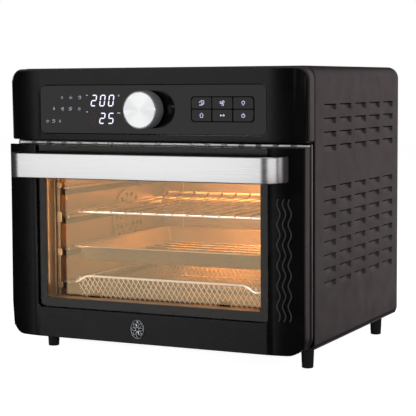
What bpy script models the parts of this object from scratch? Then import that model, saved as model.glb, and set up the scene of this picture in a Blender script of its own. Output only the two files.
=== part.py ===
"""Countertop toaster oven with a drop-down glass door, rotary knob and six touch keys.

Metres, +Z up, +X to the oven's right as the user faces it, front towards -Y.
The origin is at the middle of the footprint, on the worktop.
"""
import math

import bmesh
import bpy
from mathutils import Matrix, Vector

# ---------------------------------------------------------------- driving dimensions
GAP = 0.0003                 # assembly gap between neighbouring pieces
Y0 = -0.1534                 # plane of the door's front face
Z0 = 0.0257                  # height of the door's bottom edge above the worktop

CASE_HALF_W = 0.2030
CASE_FRONT = 0.0326
CASE_REAR = 0.3352
CASE_TOP = 0.3347
CASE_BOTTOM = 0.0033
CASE_CORNER_R = 0.015
SHEET = 0.0016
FRAME_HALF_W = 0.2008
FRAME_Y = (0.0290, 0.0320)
FRAME_Z = (0.0020, 0.2446)

CAVITY_HALF_W = 0.1410
CAVITY_Y = (0.0325, 0.3100)
CAVITY_Z = (0.0210, 0.2280)
WALL = 0.0015
LEDGE_TOPS = (0.0660, 0.1085, 0.1494, 0.1860)
LEDGE_DEPTH = 0.0095
LEDGE_H = 0.0030
FAN_Y = 0.2050
FAN_Z = 0.1290
GUARD_R = 0.0440

PANEL_HALF_W = 0.1995
PANEL_FRONT = 0.0067
PANEL_BACK = 0.0322
PANEL_Z = (0.2464, 0.3316)
INSET_HALF_W = 0.1529
INSET_Z = (0.2550, 0.3132)
KEYS_X = (0.0569, 0.0836, 0.1106, 0.1373)
KEYS_Z = (0.2703, 0.2848, 0.2990)
KNOB_Z = 0.2840
KNOB_R = 0.0228
KNOB_FACE = -0.0180

DOOR_HALF_W = 0.2000
DOOR_H = 0.2406
DOOR_BACK = 0.0242
DOOR_CORNER_R = 0.020
EDGE_SWEEP = 0.0089          # how far the side edges of door and fascia curve back
SWEEP_W = 0.050
GLASS_HALF_W = 0.1569
GLASS_BOTTOM = 0.0372
WINDOW_HALF_W = 0.1463
WINDOW_Z = (0.0490, 0.2180)
LINER_HALF_W = 0.1450
LINER_Z = (0.0480, 0.2170)
INNER_PANE_X = (-0.1280, 0.1390)      # set a little to the right of the middle
INNER_PANE_Z = (0.0515, 0.2150)
HINGE_Y = 0.0220
HINGE_Z = 0.0040
HINGE_X = (0.172, 0.190)      # span of each hinge notch, to the left and right
CLIP_X = 0.090
CLIP_HALF_W = 0.007
BADGE_AT = (-0.0152, 0.0181)
BADGE_R = (0.0094, 0.0119)

HANDLE_FRONT = -0.0320
HANDLE_HALF_W = 0.1820
HANDLE_Z = (0.2010, 0.2315)
HANDLE_BEND = 0.015
HANDLE_T = 0.0030

TRAY_SHEET = 0.0009
BASKET_SHEET = 0.0012

FOOT_X = 0.1788
FOOT_Y = (0.0696, 0.3174)
GLAND_AT = (0.150, 0.045)

LOUVRE_TOP = 0.2890
LOUVRE_PITCH_Z = 0.0162
LOUVRE_ROWS = (0, 1, 2, 3, 6, 7, 8, 9, 10, 11, 12, 13)
LOUVRE_Y = 0.0804
LOUVRE_PITCH_Y = 0.0528
LOUVRE_L = 0.0395

PARTS = "toaster_oven"
CUTTERS = "toaster_oven_cutters"


# ---------------------------------------------------------------- scene and helpers
def clear_scene():
    for obj in list(bpy.data.objects):
        bpy.data.objects.remove(obj, do_unlink=True)
    for name in (PARTS, CUTTERS):
        bpy.context.scene.collection.children.link(bpy.data.collections.new(name))


def collection(name):
    return bpy.context.scene.collection.children[name]


def material(name, colour, roughness, metallic=0.0, alpha=1.0):
    mat = bpy.data.materials.new(name)
    mat.use_nodes = True
    shader = mat.node_tree.nodes["Principled BSDF"]
    shader.inputs["Base Color"].default_value = (*colour, 1.0)
    shader.inputs["Roughness"].default_value = roughness
    shader.inputs["Metallic"].default_value = metallic
    shader.inputs["Alpha"].default_value = alpha
    return mat


PAINT = {
    "casing_black": ((0.030, 0.028, 0.028), 0.55, 0.0),
    "fascia_black": ((0.012, 0.012, 0.013), 0.40, 0.0),
    "gloss_black": ((0.008, 0.008, 0.010), 0.08, 0.0),
    "glass_clear": ((0.75, 0.72, 0.66), 0.05, 0.0),
    "steel_brushed": ((0.62, 0.61, 0.60), 0.30, 1.0),
    "aluminium_spun": ((0.78, 0.78, 0.78), 0.25, 1.0),
    "cavity_steel": ((0.42, 0.38, 0.33), 0.40, 1.0),
    "chrome_wire": ((0.80, 0.80, 0.80), 0.15, 1.0),
    "tray_enamel": ((0.20, 0.19, 0.18), 0.35, 0.2),
    "heater_metal": ((0.16, 0.15, 0.14), 0.50, 1.0),
    "rubber_black": ((0.015, 0.015, 0.015), 0.75, 0.0),
    "board_green": ((0.02, 0.10, 0.05), 0.50, 0.0),
    "zinc_plated": ((0.55, 0.55, 0.52), 0.35, 1.0),
}


def finish(obj, slot, smooth=True):
    obj.data.materials.clear()
    obj.data.materials.append(material(slot, *PAINT[slot]))
    if smooth and obj.type == "MESH":
        obj.data.shade_smooth()
        obj.data.set_sharp_from_angle(angle=math.radians(32))
    return obj


def place(obj, where):
    for owner in list(obj.users_collection):
        owner.objects.unlink(obj)
    collection(where).objects.link(obj)
    return obj


def mesh_object(name, bm, where=PARTS):
    mesh = bpy.data.meshes.new(name)
    bmesh.ops.recalc_face_normals(bm, faces=bm.faces)
    bm.to_mesh(mesh)
    bm.free()
    return place_new(name, mesh, where)


def place_new(name, data, where):
    obj = bpy.data.objects.new(name, data)
    collection(where).objects.link(obj)
    if where == CUTTERS:
        obj.hide_render = True
        obj.display_type = "WIRE"
    return obj


def set_origin(obj, point):
    """Move the object's origin to a world point without moving its mesh."""
    point = Vector(point)
    obj.data.transform(Matrix.Translation(-point))
    obj.location = point


def add_block(bm, x, y, z):
    """One box between the given (low, high) pairs; y and z are measured from the door."""
    centre = Vector(((x[0] + x[1]) / 2, Y0 + (y[0] + y[1]) / 2, Z0 + (z[0] + z[1]) / 2))
    size = Vector((abs(x[1] - x[0]), abs(y[1] - y[0]), abs(z[1] - z[0])))
    matrix = Matrix.Translation(centre) @ Matrix.Diagonal((*size, 1.0))
    return bmesh.ops.create_cube(bm, size=1.0, matrix=matrix)["verts"]


def block(name, x, y, z, where=PARTS):
    bm = bmesh.new()
    add_block(bm, x, y, z)
    return mesh_object(name, bm, where)


def bevel(obj, width, segments=2, angle=40.0):
    mod = obj.modifiers.new("Bevel", "BEVEL")
    mod.width = width
    mod.segments = segments
    mod.limit_method = "ANGLE"
    mod.angle_limit = math.radians(angle)
    return obj


def boolean(obj, cutter, operation="DIFFERENCE"):
    mod = obj.modifiers.new(operation.title(), "BOOLEAN")
    mod.operation = operation
    mod.solver = "EXACT"
    mod.object = cutter
    return obj


def to_mesh(curve_obj, name, where=PARTS):
    """Turn a curve object into a welded closed mesh in the same place."""
    graph = bpy.context.evaluated_depsgraph_get()
    mesh = bpy.data.meshes.new_from_object(curve_obj.evaluated_get(graph))
    bm = bmesh.new()
    bm.from_mesh(mesh)
    bmesh.ops.remove_doubles(bm, verts=bm.verts, dist=0.00001)
    bm.transform(curve_obj.matrix_world)
    bpy.data.meshes.remove(mesh)
    bpy.data.objects.remove(curve_obj, do_unlink=True)
    return mesh_object(name, bm, where)


def outline(name, loops, span, normal, where=PARTS):
    """Extrude closed loops (the first outside, the rest holes) along Y, Z or X.

    The loops hold world coordinates in the plane: (x, z) for Y, (x, y) for Z, (y, z) for X.
    """
    curve = bpy.data.curves.new(name + "_outline", "CURVE")
    curve.dimensions = "2D"
    curve.fill_mode = "BOTH"
    curve.extrude = abs(span[1] - span[0]) / 2
    for loop in loops:
        spline = curve.splines.new("POLY")
        spline.points.add(len(loop) - 1)
        spline.use_cyclic_u = True
        for point, (u, v) in zip(spline.points, loop):
            point.co = (u, v, 0.0, 1.0)
    obj = bpy.data.objects.new(name + "_outline", curve)
    collection(PARTS).objects.link(obj)
    middle = (span[0] + span[1]) / 2
    if normal == "Y":
        turn = Matrix.Rotation(math.radians(90), 4, "X")
        obj.matrix_world = Matrix.Translation((0, middle, 0)) @ turn
    elif normal == "X":
        turn = Matrix(((0, 0, 1, 0), (1, 0, 0, 0), (0, 1, 0, 0), (0, 0, 0, 1)))
        obj.matrix_world = Matrix.Translation((middle, 0, 0)) @ turn
    else:
        obj.matrix_world = Matrix.Translation((0, 0, middle))
    bpy.context.view_layer.update()
    return to_mesh(obj, name, where)


def rounded(x, z, radii, steps=5):
    """Rounded rectangle as (u, v) points; radii run bottom-left, bottom-right, top-right, top-left."""
    corners = ((x[0], z[0], 180), (x[1], z[0], 270), (x[1], z[1], 0), (x[0], z[1], 90))
    inward = ((1, 1), (-1, 1), (-1, -1), (1, -1))
    points = []
    for (cx, cz, start), (sx, sz), r in zip(corners, inward, radii):
        if r <= 0:
            points.append((cx, cz))
            continue
        for i in range(steps + 1):
            a = math.radians(start + 90 * i / steps)
            points.append((cx + sx * r + r * math.cos(a), cz + sz * r + r * math.sin(a)))
    return points


def circle(u, v, r, count=32):
    return [(u + r * math.cos(2 * math.pi * i / count), v + r * math.sin(2 * math.pi * i / count))
            for i in range(count)]


def shift(loop, dv):
    return [(u, v + dv) for u, v in loop]


def panel_xz(name, loops, y, where=PARTS):
    """Plate facing the front; loops in (x, z) and y measured from the door's corner."""
    return outline(name, [shift(loop, Z0) for loop in loops], (Y0 + y[0], Y0 + y[1]), "Y", where)


def panel_xy(name, loops, z, where=PARTS):
    return outline(name, [shift(loop, Y0) for loop in loops], (Z0 + z[0], Z0 + z[1]), "Z", where)


def panel_yz(name, loops, x, where=PARTS):
    moved = [[(u + Y0, v + Z0) for u, v in loop] for loop in loops]
    return outline(name, moved, x, "X", where)


AXIS_TURN = {
    "X": Matrix.Rotation(math.radians(90), 4, "Y"),
    "Y": Matrix.Rotation(math.radians(-90), 4, "X"),
    "Z": Matrix.Identity(4),
}


def turned(name, profile, centre, axis, steps=40):
    """Turn a (radius, height) profile about X, Y or Z through the centre.

    The heights run along the axis, measured from the centre.
    """
    if profile[0][1] < profile[-1][1]:
        profile = list(reversed(profile))
    profile = [(0.0, profile[0][1])] + profile + [(0.0, profile[-1][1])]
    mesh = bpy.data.meshes.new(name + "_profile")
    edges = [(i, i + 1) for i in range(len(profile) - 1)]
    mesh.from_pydata([(radius, 0.0, height) for radius, height in profile], edges, [])
    obj = place_new(name + "_profile", mesh, PARTS)
    screw = obj.modifiers.new("Screw", "SCREW")
    screw.axis = "Z"
    screw.steps = steps
    screw.render_steps = steps
    screw.use_merge_vertices = True
    screw.merge_threshold = 0.00001
    spot = Vector((centre[0], Y0 + centre[1], Z0 + centre[2]))
    obj.matrix_world = Matrix.Translation(spot) @ AXIS_TURN[axis]
    bpy.context.view_layer.update()
    solid = to_mesh(obj, name)
    set_origin(solid, spot)
    return solid


def wire(name, points, radius, where=PARTS, resolution=2):
    """Round wire along points given as (x, y, z) from the door's corner."""
    curve = bpy.data.curves.new(name + "_path", "CURVE")
    curve.dimensions = "3D"
    curve.bevel_depth = radius
    curve.bevel_resolution = resolution
    curve.use_fill_caps = True
    spline = curve.splines.new("POLY")
    spline.points.add(len(points) - 1)
    for point, (x, y, z) in zip(spline.points, points):
        point.co = (x, Y0 + y, Z0 + z, 1.0)
    obj = bpy.data.objects.new(name + "_path", curve)
    collection(PARTS).objects.link(obj)
    bpy.context.view_layer.update()
    return to_mesh(obj, name, where)


def sweep_front(front, half_w, back, steps=7):
    """Plan outline of a moulding that is flat in the middle and curves back at both sides."""
    right = []
    for i in range(steps + 1):
        t = i / steps
        right.append((half_w - SWEEP_W + SWEEP_W * t, front + EDGE_SWEEP * t * t))
    left = [(-x, y) for x, y in reversed(right)]
    return left + right + [(half_w, back), (-half_w, back)]


# ---------------------------------------------------------------- casing
def build_case():
    outer_r = CASE_CORNER_R
    inner_r = CASE_CORNER_R - SHEET
    outer = rounded((-CASE_HALF_W, CASE_HALF_W), (CASE_BOTTOM, CASE_TOP), (0, 0, outer_r, outer_r))
    inner = rounded((-CASE_HALF_W + SHEET, CASE_HALF_W - SHEET),
                    (CASE_BOTTOM, CASE_TOP - SHEET), (0, 0, inner_r, inner_r))
    loop = outer[1:] + [outer[0]] + [inner[0]] + list(reversed(inner[1:]))
    wrap = panel_xz("outer_wrap", [loop], (CASE_FRONT, CASE_REAR))
    bm = bmesh.new()
    for side in (-1, 1):
        for row in LOUVRE_ROWS:
            z = LOUVRE_TOP - LOUVRE_PITCH_Z * row
            for col in range(5):
                y = LOUVRE_Y + LOUVRE_PITCH_Y * col
                add_block(bm, (side * (CASE_HALF_W - 0.004), side * (CASE_HALF_W + 0.002)),
                          (y - LOUVRE_L / 2, y + LOUVRE_L / 2), (z, z + 0.0022))
    boolean(wrap, mesh_object("cut_louvres", bm, CUTTERS))
    finish(wrap, "casing_black")

    inside = CASE_HALF_W - SHEET - GAP
    r = inner_r - GAP
    rear = rounded((-inside, inside), (CASE_BOTTOM, CASE_TOP - SHEET - GAP), (0.002, 0.002, r, r))
    slots = []
    for row in range(6):
        for col in (-1, 0, 1):
            x = col * 0.085
            z = 0.262 + 0.009 * row
            slots.append(rounded((x - 0.033, x + 0.033), (z, z + 0.0035), (0, 0, 0, 0)))
    slots.append(circle(*GLAND_AT, 0.0075, 24))
    finish(panel_xz("rear_panel", [rear] + slots, (CASE_REAR - 0.0022, CASE_REAR - 0.0004)),
           "casing_black")

    vents = []
    for row in range(5):
        y = 0.12 + 0.03 * row
        vents.append(rounded((-0.05, 0.05), (y, y + 0.004), (0, 0, 0, 0)))
    base = rounded((-inside, inside), (CASE_FRONT, CASE_REAR - 0.0025), (0, 0, 0, 0))
    finish(panel_xy("base_plate", [base] + vents, (CASE_BOTTOM + GAP, CASE_BOTTOM + 0.0023)),
           "casing_black")

    ring = rounded((-FRAME_HALF_W, FRAME_HALF_W), FRAME_Z, (0.016, 0.016, 0.002, 0.002))
    mouth = rounded((-CAVITY_HALF_W, CAVITY_HALF_W), CAVITY_Z, (0, 0, 0, 0))
    frame = panel_xz("front_frame", [ring, mouth], FRAME_Y)
    finish(frame, "casing_black")

    for side, label in ((-1, "left"), (1, "right")):
        for y, end in zip(FOOT_Y, ("front", "rear")):
            profile = [(0.0060, -0.0257), (0.0070, -0.0249), (0.0082, 0.0022), (0.0078, 0.0030)]
            foot = turned(f"foot_{end}_{label}", profile, (side * FOOT_X, y, 0), "Z", steps=24)
            finish(foot, "rubber_black")

    gland = turned("cord_gland", [(0.0105, 0.0040), (0.0105, 0.0010), (0.0072, 0.0007),
                                  (0.0072, -0.0040), (0.0045, -0.0040)],
                   (GLAND_AT[0], CASE_REAR - 0.0004, GLAND_AT[1]), "Y", steps=24)
    finish(gland, "rubber_black")
    for x, z, label in ((-0.19, 0.015, "low_left"), (0.19, 0.015, "low_right"),
                        (-0.18, 0.322, "top_left"), (0.18, 0.322, "top_right")):
        screw = turned(f"rear_screw_{label}", [(0.0018, 0.0012), (0.0036, 0.0004), (0.0038, -0.0001)],
                       (x, CASE_REAR, z), "Y", steps=16)
        finish(screw, "zinc_plated")


# ---------------------------------------------------------------- cavity
def side_wall(label, side):
    inner = side * CAVITY_HALF_W
    outer = side * (CAVITY_HALF_W + WALL)
    outline_loop = rounded(CAVITY_Y, (CAVITY_Z[0] - WALL - 0.001, CAVITY_Z[1] + WALL), (0, 0, 0, 0))
    loops = [outline_loop]
    if side < 0:
        loops.append(circle(FAN_Y, FAN_Z, GUARD_R - 0.004, 40))
    wall = panel_yz(f"cavity_wall_{label}", loops, (min(inner, outer), max(inner, outer)))
    bm = bmesh.new()
    for top in LEDGE_TOPS:
        runs = [(CAVITY_Y[0] + 0.004, CAVITY_Y[1] - 0.002)]
        if side < 0 and abs(top - FAN_Z) < GUARD_R:
            reach = math.sqrt(GUARD_R ** 2 - (top - FAN_Z) ** 2) + 0.006
            runs = [(runs[0][0], FAN_Y - reach), (FAN_Y + reach, runs[0][1])]
        for y in runs:
            add_block(bm, (outer - side * 0.0005, inner - side * LEDGE_DEPTH), y, (top - LEDGE_H, top))
    boolean(wall, mesh_object(f"add_ledges_{label}", bm, CUTTERS), "UNION")
    finish(wall, "cavity_steel")


def build_cavity():
    half = CAVITY_HALF_W
    finish(block("cavity_floor", (-half + GAP, half - GAP), (CAVITY_Y[0], CAVITY_Y[1] - GAP),
                 (CAVITY_Z[0] - WALL, CAVITY_Z[0])), "cavity_steel")
    finish(block("cavity_ceiling", (-half + GAP, half - GAP), (CAVITY_Y[0], CAVITY_Y[1] - GAP),
                 (CAVITY_Z[1], CAVITY_Z[1] + WALL)), "cavity_steel")
    finish(block("cavity_back", (-half - WALL, half + WALL), (CAVITY_Y[1] + GAP, CAVITY_Y[1] + WALL),
                 (CAVITY_Z[0] - WALL, CAVITY_Z[1] + WALL)), "cavity_steel")
    side_wall("left", -1)
    side_wall("right", 1)
    finish(block("heat_shield", (-0.190, 0.190), (0.0340, 0.3280), (0.2385, 0.2395)), "cavity_steel")

    loops = [circle(FAN_Y, FAN_Z, GUARD_R, 40)]
    for ring_r, count in ((0.012, 6), (0.024, 12), (0.035, 16)):
        for i in range(count):
            a = 2 * math.pi * (i + 0.5) / count
            loops.append(circle(FAN_Y + ring_r * math.cos(a), FAN_Z + ring_r * math.sin(a), 0.0036, 8))
    guard = panel_yz("fan_guard", loops, (-half + GAP, -half + GAP + 0.0012))
    finish(guard, "cavity_steel")

    star = []
    for i in range(6):
        for step, r in ((0.0, 0.011), (0.18, 0.0345), (0.52, 0.0345), (0.62, 0.011)):
            a = 2 * math.pi * (i + step) / 6
            star.append((FAN_Y + r * math.cos(a), FAN_Z + r * math.sin(a)))
    blade = panel_yz("fan_blade", [star], (-half - 0.0150, -half - 0.0060))
    set_origin(blade, (-half - 0.0105, Y0 + FAN_Y, Z0 + FAN_Z))
    finish(blade, "cavity_steel")
    motor = turned("fan_motor", [(0.026, 0.0), (0.027, 0.001), (0.027, 0.030), (0.020, 0.034),
                                 (0.006, 0.034), (0.006, 0.0382)],
                   (-half - 0.0535, FAN_Y, FAN_Z), "X", steps=32)
    finish(motor, "zinc_plated")

    for label, y, z in (("upper_front", 0.095, 0.2140), ("upper_rear", 0.235, 0.2140),
                        ("lower_front", 0.095, 0.0312), ("lower_rear", 0.235, 0.0312)):
        rod = wire(f"heater_{label}", [(-half + GAP, y, z), (half - GAP, y, z)], 0.0034, resolution=3)
        finish(rod, "heater_metal")

    lamp = turned("lamp_housing", [(0.016, 0.0), (0.016, 0.020), (0.010, 0.022)],
                  (half + WALL + GAP, 0.255, 0.198), "X", steps=24)
    finish(lamp, "zinc_plated")
    lens = turned("lamp_lens", [(0.0135, 0.0), (0.0135, -0.0015), (0.011, -0.0045), (0.006, -0.006)],
                  (half - GAP, 0.255, 0.206), "X", steps=24)
    finish(lens, "glass_clear")
    probe = wire("temperature_probe", [(-half + 0.0135, 0.2150, CAVITY_Z[1] - GAP),
                                       (-half + 0.0135, 0.2150, 0.1745)], 0.0028)
    finish(probe, "zinc_plated")
    finish(block("power_board", (0.1720, 0.1736), (0.080, 0.260), (0.040, 0.200)), "board_green")


# ---------------------------------------------------------------- control panel
def build_controls():
    front, back = PANEL_FRONT, PANEL_BACK
    body = panel_xy("control_fascia", [sweep_front(front, PANEL_HALF_W, back)], PANEL_Z)
    face = rounded((-PANEL_HALF_W, PANEL_HALF_W), PANEL_Z, (0.003, 0.003, 0.014, 0.014))
    boolean(body, panel_xz("keep_fascia", [face], (front - 0.002, back + 0.002), CUTTERS), "INTERSECT")
    pocket = block("cut_fascia_pocket", (-0.190, 0.190), (front + 0.0100, back + 0.004),
                   (PANEL_Z[0] + 0.004, PANEL_Z[1] - 0.006), CUTTERS)
    boolean(body, pocket)
    recess = rounded((-INSET_HALF_W - GAP, INSET_HALF_W + GAP), (INSET_Z[0] - GAP, INSET_Z[1] + GAP),
                     (0.0075,) * 4)
    boolean(body, panel_xz("cut_inset", [recess], (front - 0.001, front + 0.0020), CUTTERS))
    keys_x = (KEYS_X[0] - GAP, KEYS_X[-1] + GAP)
    keys_z = (KEYS_Z[0] - GAP, KEYS_Z[-1] + GAP)
    key_hole = rounded(keys_x, keys_z, (0.0040,) * 4)
    boolean(body, panel_xz("cut_keys", [key_hole], (front - 0.001, front + 0.012), CUTTERS))
    shaft_hole = circle(0.0, KNOB_Z, 0.0036, 24)
    boolean(body, panel_xz("cut_shaft", [shaft_hole], (front - 0.001, front + 0.012), CUTTERS))
    finish(body, "fascia_black")

    inset = rounded((-INSET_HALF_W, INSET_HALF_W), INSET_Z, (0.0072,) * 4)
    finish(panel_xz("display_panel", [inset, key_hole, shaft_hole], (front + 0.0001, front + 0.0017)),
           "gloss_black")
    finish(block("control_board", (-0.150, 0.150), (0.0225, 0.0241), (0.254, 0.318)), "board_green")
    coder = turned("encoder", [(0.0088, 0.0222), (0.0088, 0.0173), (0.0060, 0.0170)],
                   (0, 0, KNOB_Z), "Y", steps=24)
    finish(coder, "zinc_plated")

    profile = [(0.0210, KNOB_FACE), (KNOB_R - 0.0003, KNOB_FACE + 0.0012), (KNOB_R, 0.0020),
               (KNOB_R - 0.0012, 0.0030)]
    cap = turned("knob_cap", profile, (0, 0, KNOB_Z), "Y", steps=48)
    finish(cap, "aluminium_spun")
    skirt = turned("knob_skirt", [(0.0200, 0.0033), (0.0205, 0.0040), (0.0205, 0.0063)],
                   (0, 0, KNOB_Z), "Y", steps=32)
    finish(skirt, "rubber_black")
    stem = turned("knob_shaft", [(0.0030, 0.0066), (0.0030, 0.0167)], (0, 0, KNOB_Z), "Y", steps=16)
    finish(stem, "zinc_plated")

    half_gap = 0.00025
    for row, label in ((1, "upper"), (0, "lower")):
        for col in range(3):
            x = (KEYS_X[col] + (half_gap if col else 0.0),
                 KEYS_X[col + 1] - (half_gap if col < 2 else 0.0))
            z = (KEYS_Z[row] + (half_gap if row else 0.0),
                 KEYS_Z[row + 1] - (0.0 if row else half_gap))
            corner = {(0, 0): 0, (0, 2): 1, (1, 2): 2, (1, 0): 3}.get((row, col))
            radii = [0.0003] * 4
            if corner is not None:
                radii[corner] = 0.0038
            key = panel_xz(f"key_{label}_{col + 1}", [rounded(x, z, radii, 4)],
                           (front - 0.0002, front + 0.0085))
            set_origin(key, (sum(x) / 2, Y0 + front, Z0 + sum(z) / 2))
            finish(key, "gloss_black")


# ---------------------------------------------------------------- door
def build_door():
    z_all = (0.0, DOOR_H)
    body = panel_xy("door_frame", [sweep_front(0.0, DOOR_HALF_W, DOOR_BACK)], z_all)
    r = DOOR_CORNER_R
    face = rounded((-DOOR_HALF_W, DOOR_HALF_W), z_all, (r, r, 0.003, 0.003), 7)
    boolean(body, panel_xz("keep_door", [face], (-0.002, DOOR_BACK + 0.002), CUTTERS), "INTERSECT")
    seat = rounded((-GLASS_HALF_W, GLASS_HALF_W), (GLASS_BOTTOM, DOOR_H + 0.010), (0.005, 0.005, 0, 0))
    boolean(body, panel_xz("cut_glass_seat", [seat], (-0.004, 0.0045), CUTTERS))
    window = rounded((-WINDOW_HALF_W, WINDOW_HALF_W), WINDOW_Z, (0.0035,) * 4)
    boolean(body, panel_xz("cut_window", [window], (-0.004, DOOR_BACK + 0.004), CUTTERS))
    bm = bmesh.new()
    for side in (-1, 1):
        add_block(bm, (side * HINGE_X[0], side * HINGE_X[1]), (HINGE_Y - 0.0065, DOOR_BACK + 0.010),
                  (-0.004, HINGE_Z + 0.0065))
    notches = mesh_object("cut_hinge_notches", bm, CUTTERS)
    boolean(body, notches)
    finish(body, "fascia_black")

    pane = rounded((-GLASS_HALF_W + GAP, GLASS_HALF_W - GAP), (GLASS_BOTTOM + GAP, DOOR_H - GAP),
                   (0.0047, 0.0047, 0.001, 0.001))
    finish(panel_xz("door_outer_glass", [pane], (0.0002, 0.0042)), "glass_clear")
    inner = rounded(INNER_PANE_X, INNER_PANE_Z, (0.002,) * 4)
    finish(panel_xz("door_inner_glass", [inner], (DOOR_BACK - 0.0030, DOOR_BACK)), "glass_clear")
    sheet = rounded((-0.1960, 0.1960), (0.0030, 0.2380), (0.015, 0.015, 0.003, 0.003))
    sight = rounded((-LINER_HALF_W, LINER_HALF_W), LINER_Z, (0.003,) * 4)
    liner = panel_xz("door_inner_panel", [sheet, sight], (DOOR_BACK + GAP, DOOR_BACK + 0.0018))
    boolean(liner, notches)
    finish(liner, "cavity_steel")

    clip_y = (DOOR_BACK + 0.0018 + GAP, DOOR_BACK + 0.0030)
    for side, label in ((-1, "left"), (1, "right")):
        clip_x = (side * CLIP_X - CLIP_HALF_W, side * CLIP_X + CLIP_HALF_W)
        clip_z = (LINER_Z[0] - 0.008, INNER_PANE_Z[0] + 0.003)
        finish(block(f"pane_clip_{label}", clip_x, clip_y, clip_z), "zinc_plated")
    finish(block("pane_rail", (-0.100, 0.100), clip_y, (INNER_PANE_Z[1] - 0.004, LINER_Z[1] + 0.008)),
           "zinc_plated")

    outer_path = []
    inner_path = []
    end_y = 0.0026
    for side in (-1, 1):
        centre = (side * (HANDLE_HALF_W - HANDLE_BEND), HANDLE_FRONT + HANDLE_BEND)
        arc = []
        for i in range(7):
            a = math.radians(15 * i)
            arc.append((-math.cos(a), -math.sin(a)))
        for path, r in ((outer_path, HANDLE_BEND), (inner_path, HANDLE_BEND - HANDLE_T)):
            bend = [(centre[0] - side * r * u, centre[1] + r * v) for u, v in arc]
            leg = (centre[0] + side * r, end_y)
            path.append([leg] + bend)
    loop = outer_path[0] + list(reversed(outer_path[1])) + inner_path[1] + list(reversed(inner_path[0]))
    handle = panel_xy("handle_bar", [loop], HANDLE_Z)
    bevel(handle, 0.0006, 1)
    finish(handle, "steel_brushed")

    badge = [(BADGE_AT[0] + BADGE_R[0] * math.cos(2 * math.pi * i / 32),
              BADGE_AT[1] + BADGE_R[1] * math.sin(2 * math.pi * i / 32)) for i in range(32)]
    finish(panel_xz("door_badge", [badge], (-0.0010, -0.0001)), "steel_brushed")

    for side, label in ((-1, "left"), (1, "right")):
        ends = sorted((side * (HINGE_X[0] + GAP), side * (HINGE_X[1] - GAP)))
        pin = turned(f"hinge_pin_{label}", [(0.0020, 0.0), (0.0020, ends[1] - ends[0])],
                     (ends[0], HINGE_Y, HINGE_Z), "X", steps=20)
        finish(pin, "zinc_plated")
        arm = [(HINGE_Y + 0.0040 * math.cos(math.radians(90 + 18 * i)),
                HINGE_Z + 0.0040 * math.sin(math.radians(90 + 18 * i))) for i in range(11)]
        tail = FRAME_Y[0] - GAP
        arm += [(tail, HINGE_Z - 0.0040), (tail, HINGE_Z + 0.0040)]
        bore = circle(HINGE_Y, HINGE_Z, 0.00206, 20)
        lug = panel_yz(f"hinge_bracket_{label}", [arm, bore], sorted((side * 0.1765, side * 0.1855)))
        finish(lug, "zinc_plated")


# ---------------------------------------------------------------- racks and trays
def add_rod(bm, a, b, radius, sides=6):
    start = Vector((a[0], Y0 + a[1], Z0 + a[2]))
    end = Vector((b[0], Y0 + b[1], Z0 + b[2]))
    along = end - start
    turn = along.to_track_quat("Z", "Y").to_matrix().to_4x4()
    matrix = Matrix.Translation((start + end) / 2) @ turn
    bmesh.ops.create_cone(bm, cap_ends=True, segments=sides, radius1=radius, radius2=radius,
                          depth=along.length, matrix=matrix)


def union_all(name, rods):
    """Join rods that cross each other into one closed body."""
    bm = bmesh.new()
    add_rod(bm, *rods[0])
    obj = mesh_object(name, bm)
    bm = bmesh.new()
    for rod in rods[1:]:
        add_rod(bm, *rod)
    mod = obj.modifiers.new("Union", "BOOLEAN")
    mod.operation = "UNION"
    mod.solver = "EXACT"
    mod.use_self = True
    mod.object = mesh_object(f"add_{name}", bm, CUTTERS)
    return obj


def pan(name, half_w, y, z, slope, flange, sheet):
    """Shallow pressed pan: a flat rim around sloping sides and a floor, open at the top.

    half_w and y are the outside of the rim, z the underside of the floor and the rim's top.
    """
    bm = bmesh.new()
    mouth_y = (y[0] + flange, y[1] - flange)
    add_block(bm, (-half_w + flange, half_w - flange), mouth_y, (z[0], z[1] - sheet))
    lid = [face for face in bm.faces if face.normal.z > 0.5]
    bmesh.ops.delete(bm, geom=lid, context="FACES_ONLY")
    middle_y = Y0 + sum(y) / 2
    for vert in bm.verts:
        if vert.co.z < Z0 + (z[0] + z[1]) / 2:
            vert.co.x -= math.copysign(slope, vert.co.x)
            vert.co.y -= math.copysign(slope, vert.co.y - middle_y)
    rim = [edge for edge in bm.edges if edge.is_boundary]
    grown = bmesh.ops.extrude_edge_only(bm, edges=rim)["geom"]
    for vert in (item for item in grown if isinstance(item, bmesh.types.BMVert)):
        vert.co.x += math.copysign(flange, vert.co.x)
        vert.co.y += math.copysign(flange, vert.co.y - middle_y)
    obj = mesh_object(name, bm)
    solidify = obj.modifiers.new("Solidify", "SOLIDIFY")
    solidify.thickness = sheet
    solidify.offset = 1.0
    solidify.use_even_offset = True
    return obj


def build_racks():
    z = LEDGE_TOPS[2] + GAP + 0.0021
    rods = [((-0.1350, 0.064, z), (0.1350, 0.064, z), 0.0021),
            ((-0.1350, 0.303, z), (0.1350, 0.303, z), 0.0021)]
    for i in range(-6, 7):
        x = 0.0216 * i
        radius = 0.0016
        rods.append(((x, 0.0625, z + 0.0022), (x, 0.3045, z + 0.0022), radius))
    finish(union_all("wire_rack", rods), "chrome_wire")

    top = LEDGE_TOPS[1] + GAP + TRAY_SHEET
    tray = pan("baking_tray", 0.1355, (0.0450, 0.3060), (top - 0.0200, top), 0.0090, 0.0060, TRAY_SHEET)
    finish(tray, "tray_enamel")

    top = LEDGE_TOPS[0] + GAP + BASKET_SHEET
    basket = pan("crisping_basket", 0.1345, (0.0450, 0.3040), (top - 0.0262, top), 0.0060, 0.0056,
                 BASKET_SHEET)
    finish(basket, "chrome_wire")

    low = CAVITY_Z[0] + GAP
    crumb = pan("crumb_tray", 0.1385, (0.0450, 0.3080), (low, low + 0.0047), 0.0020, 0.0020, TRAY_SHEET)
    finish(crumb, "tray_enamel")


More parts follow.
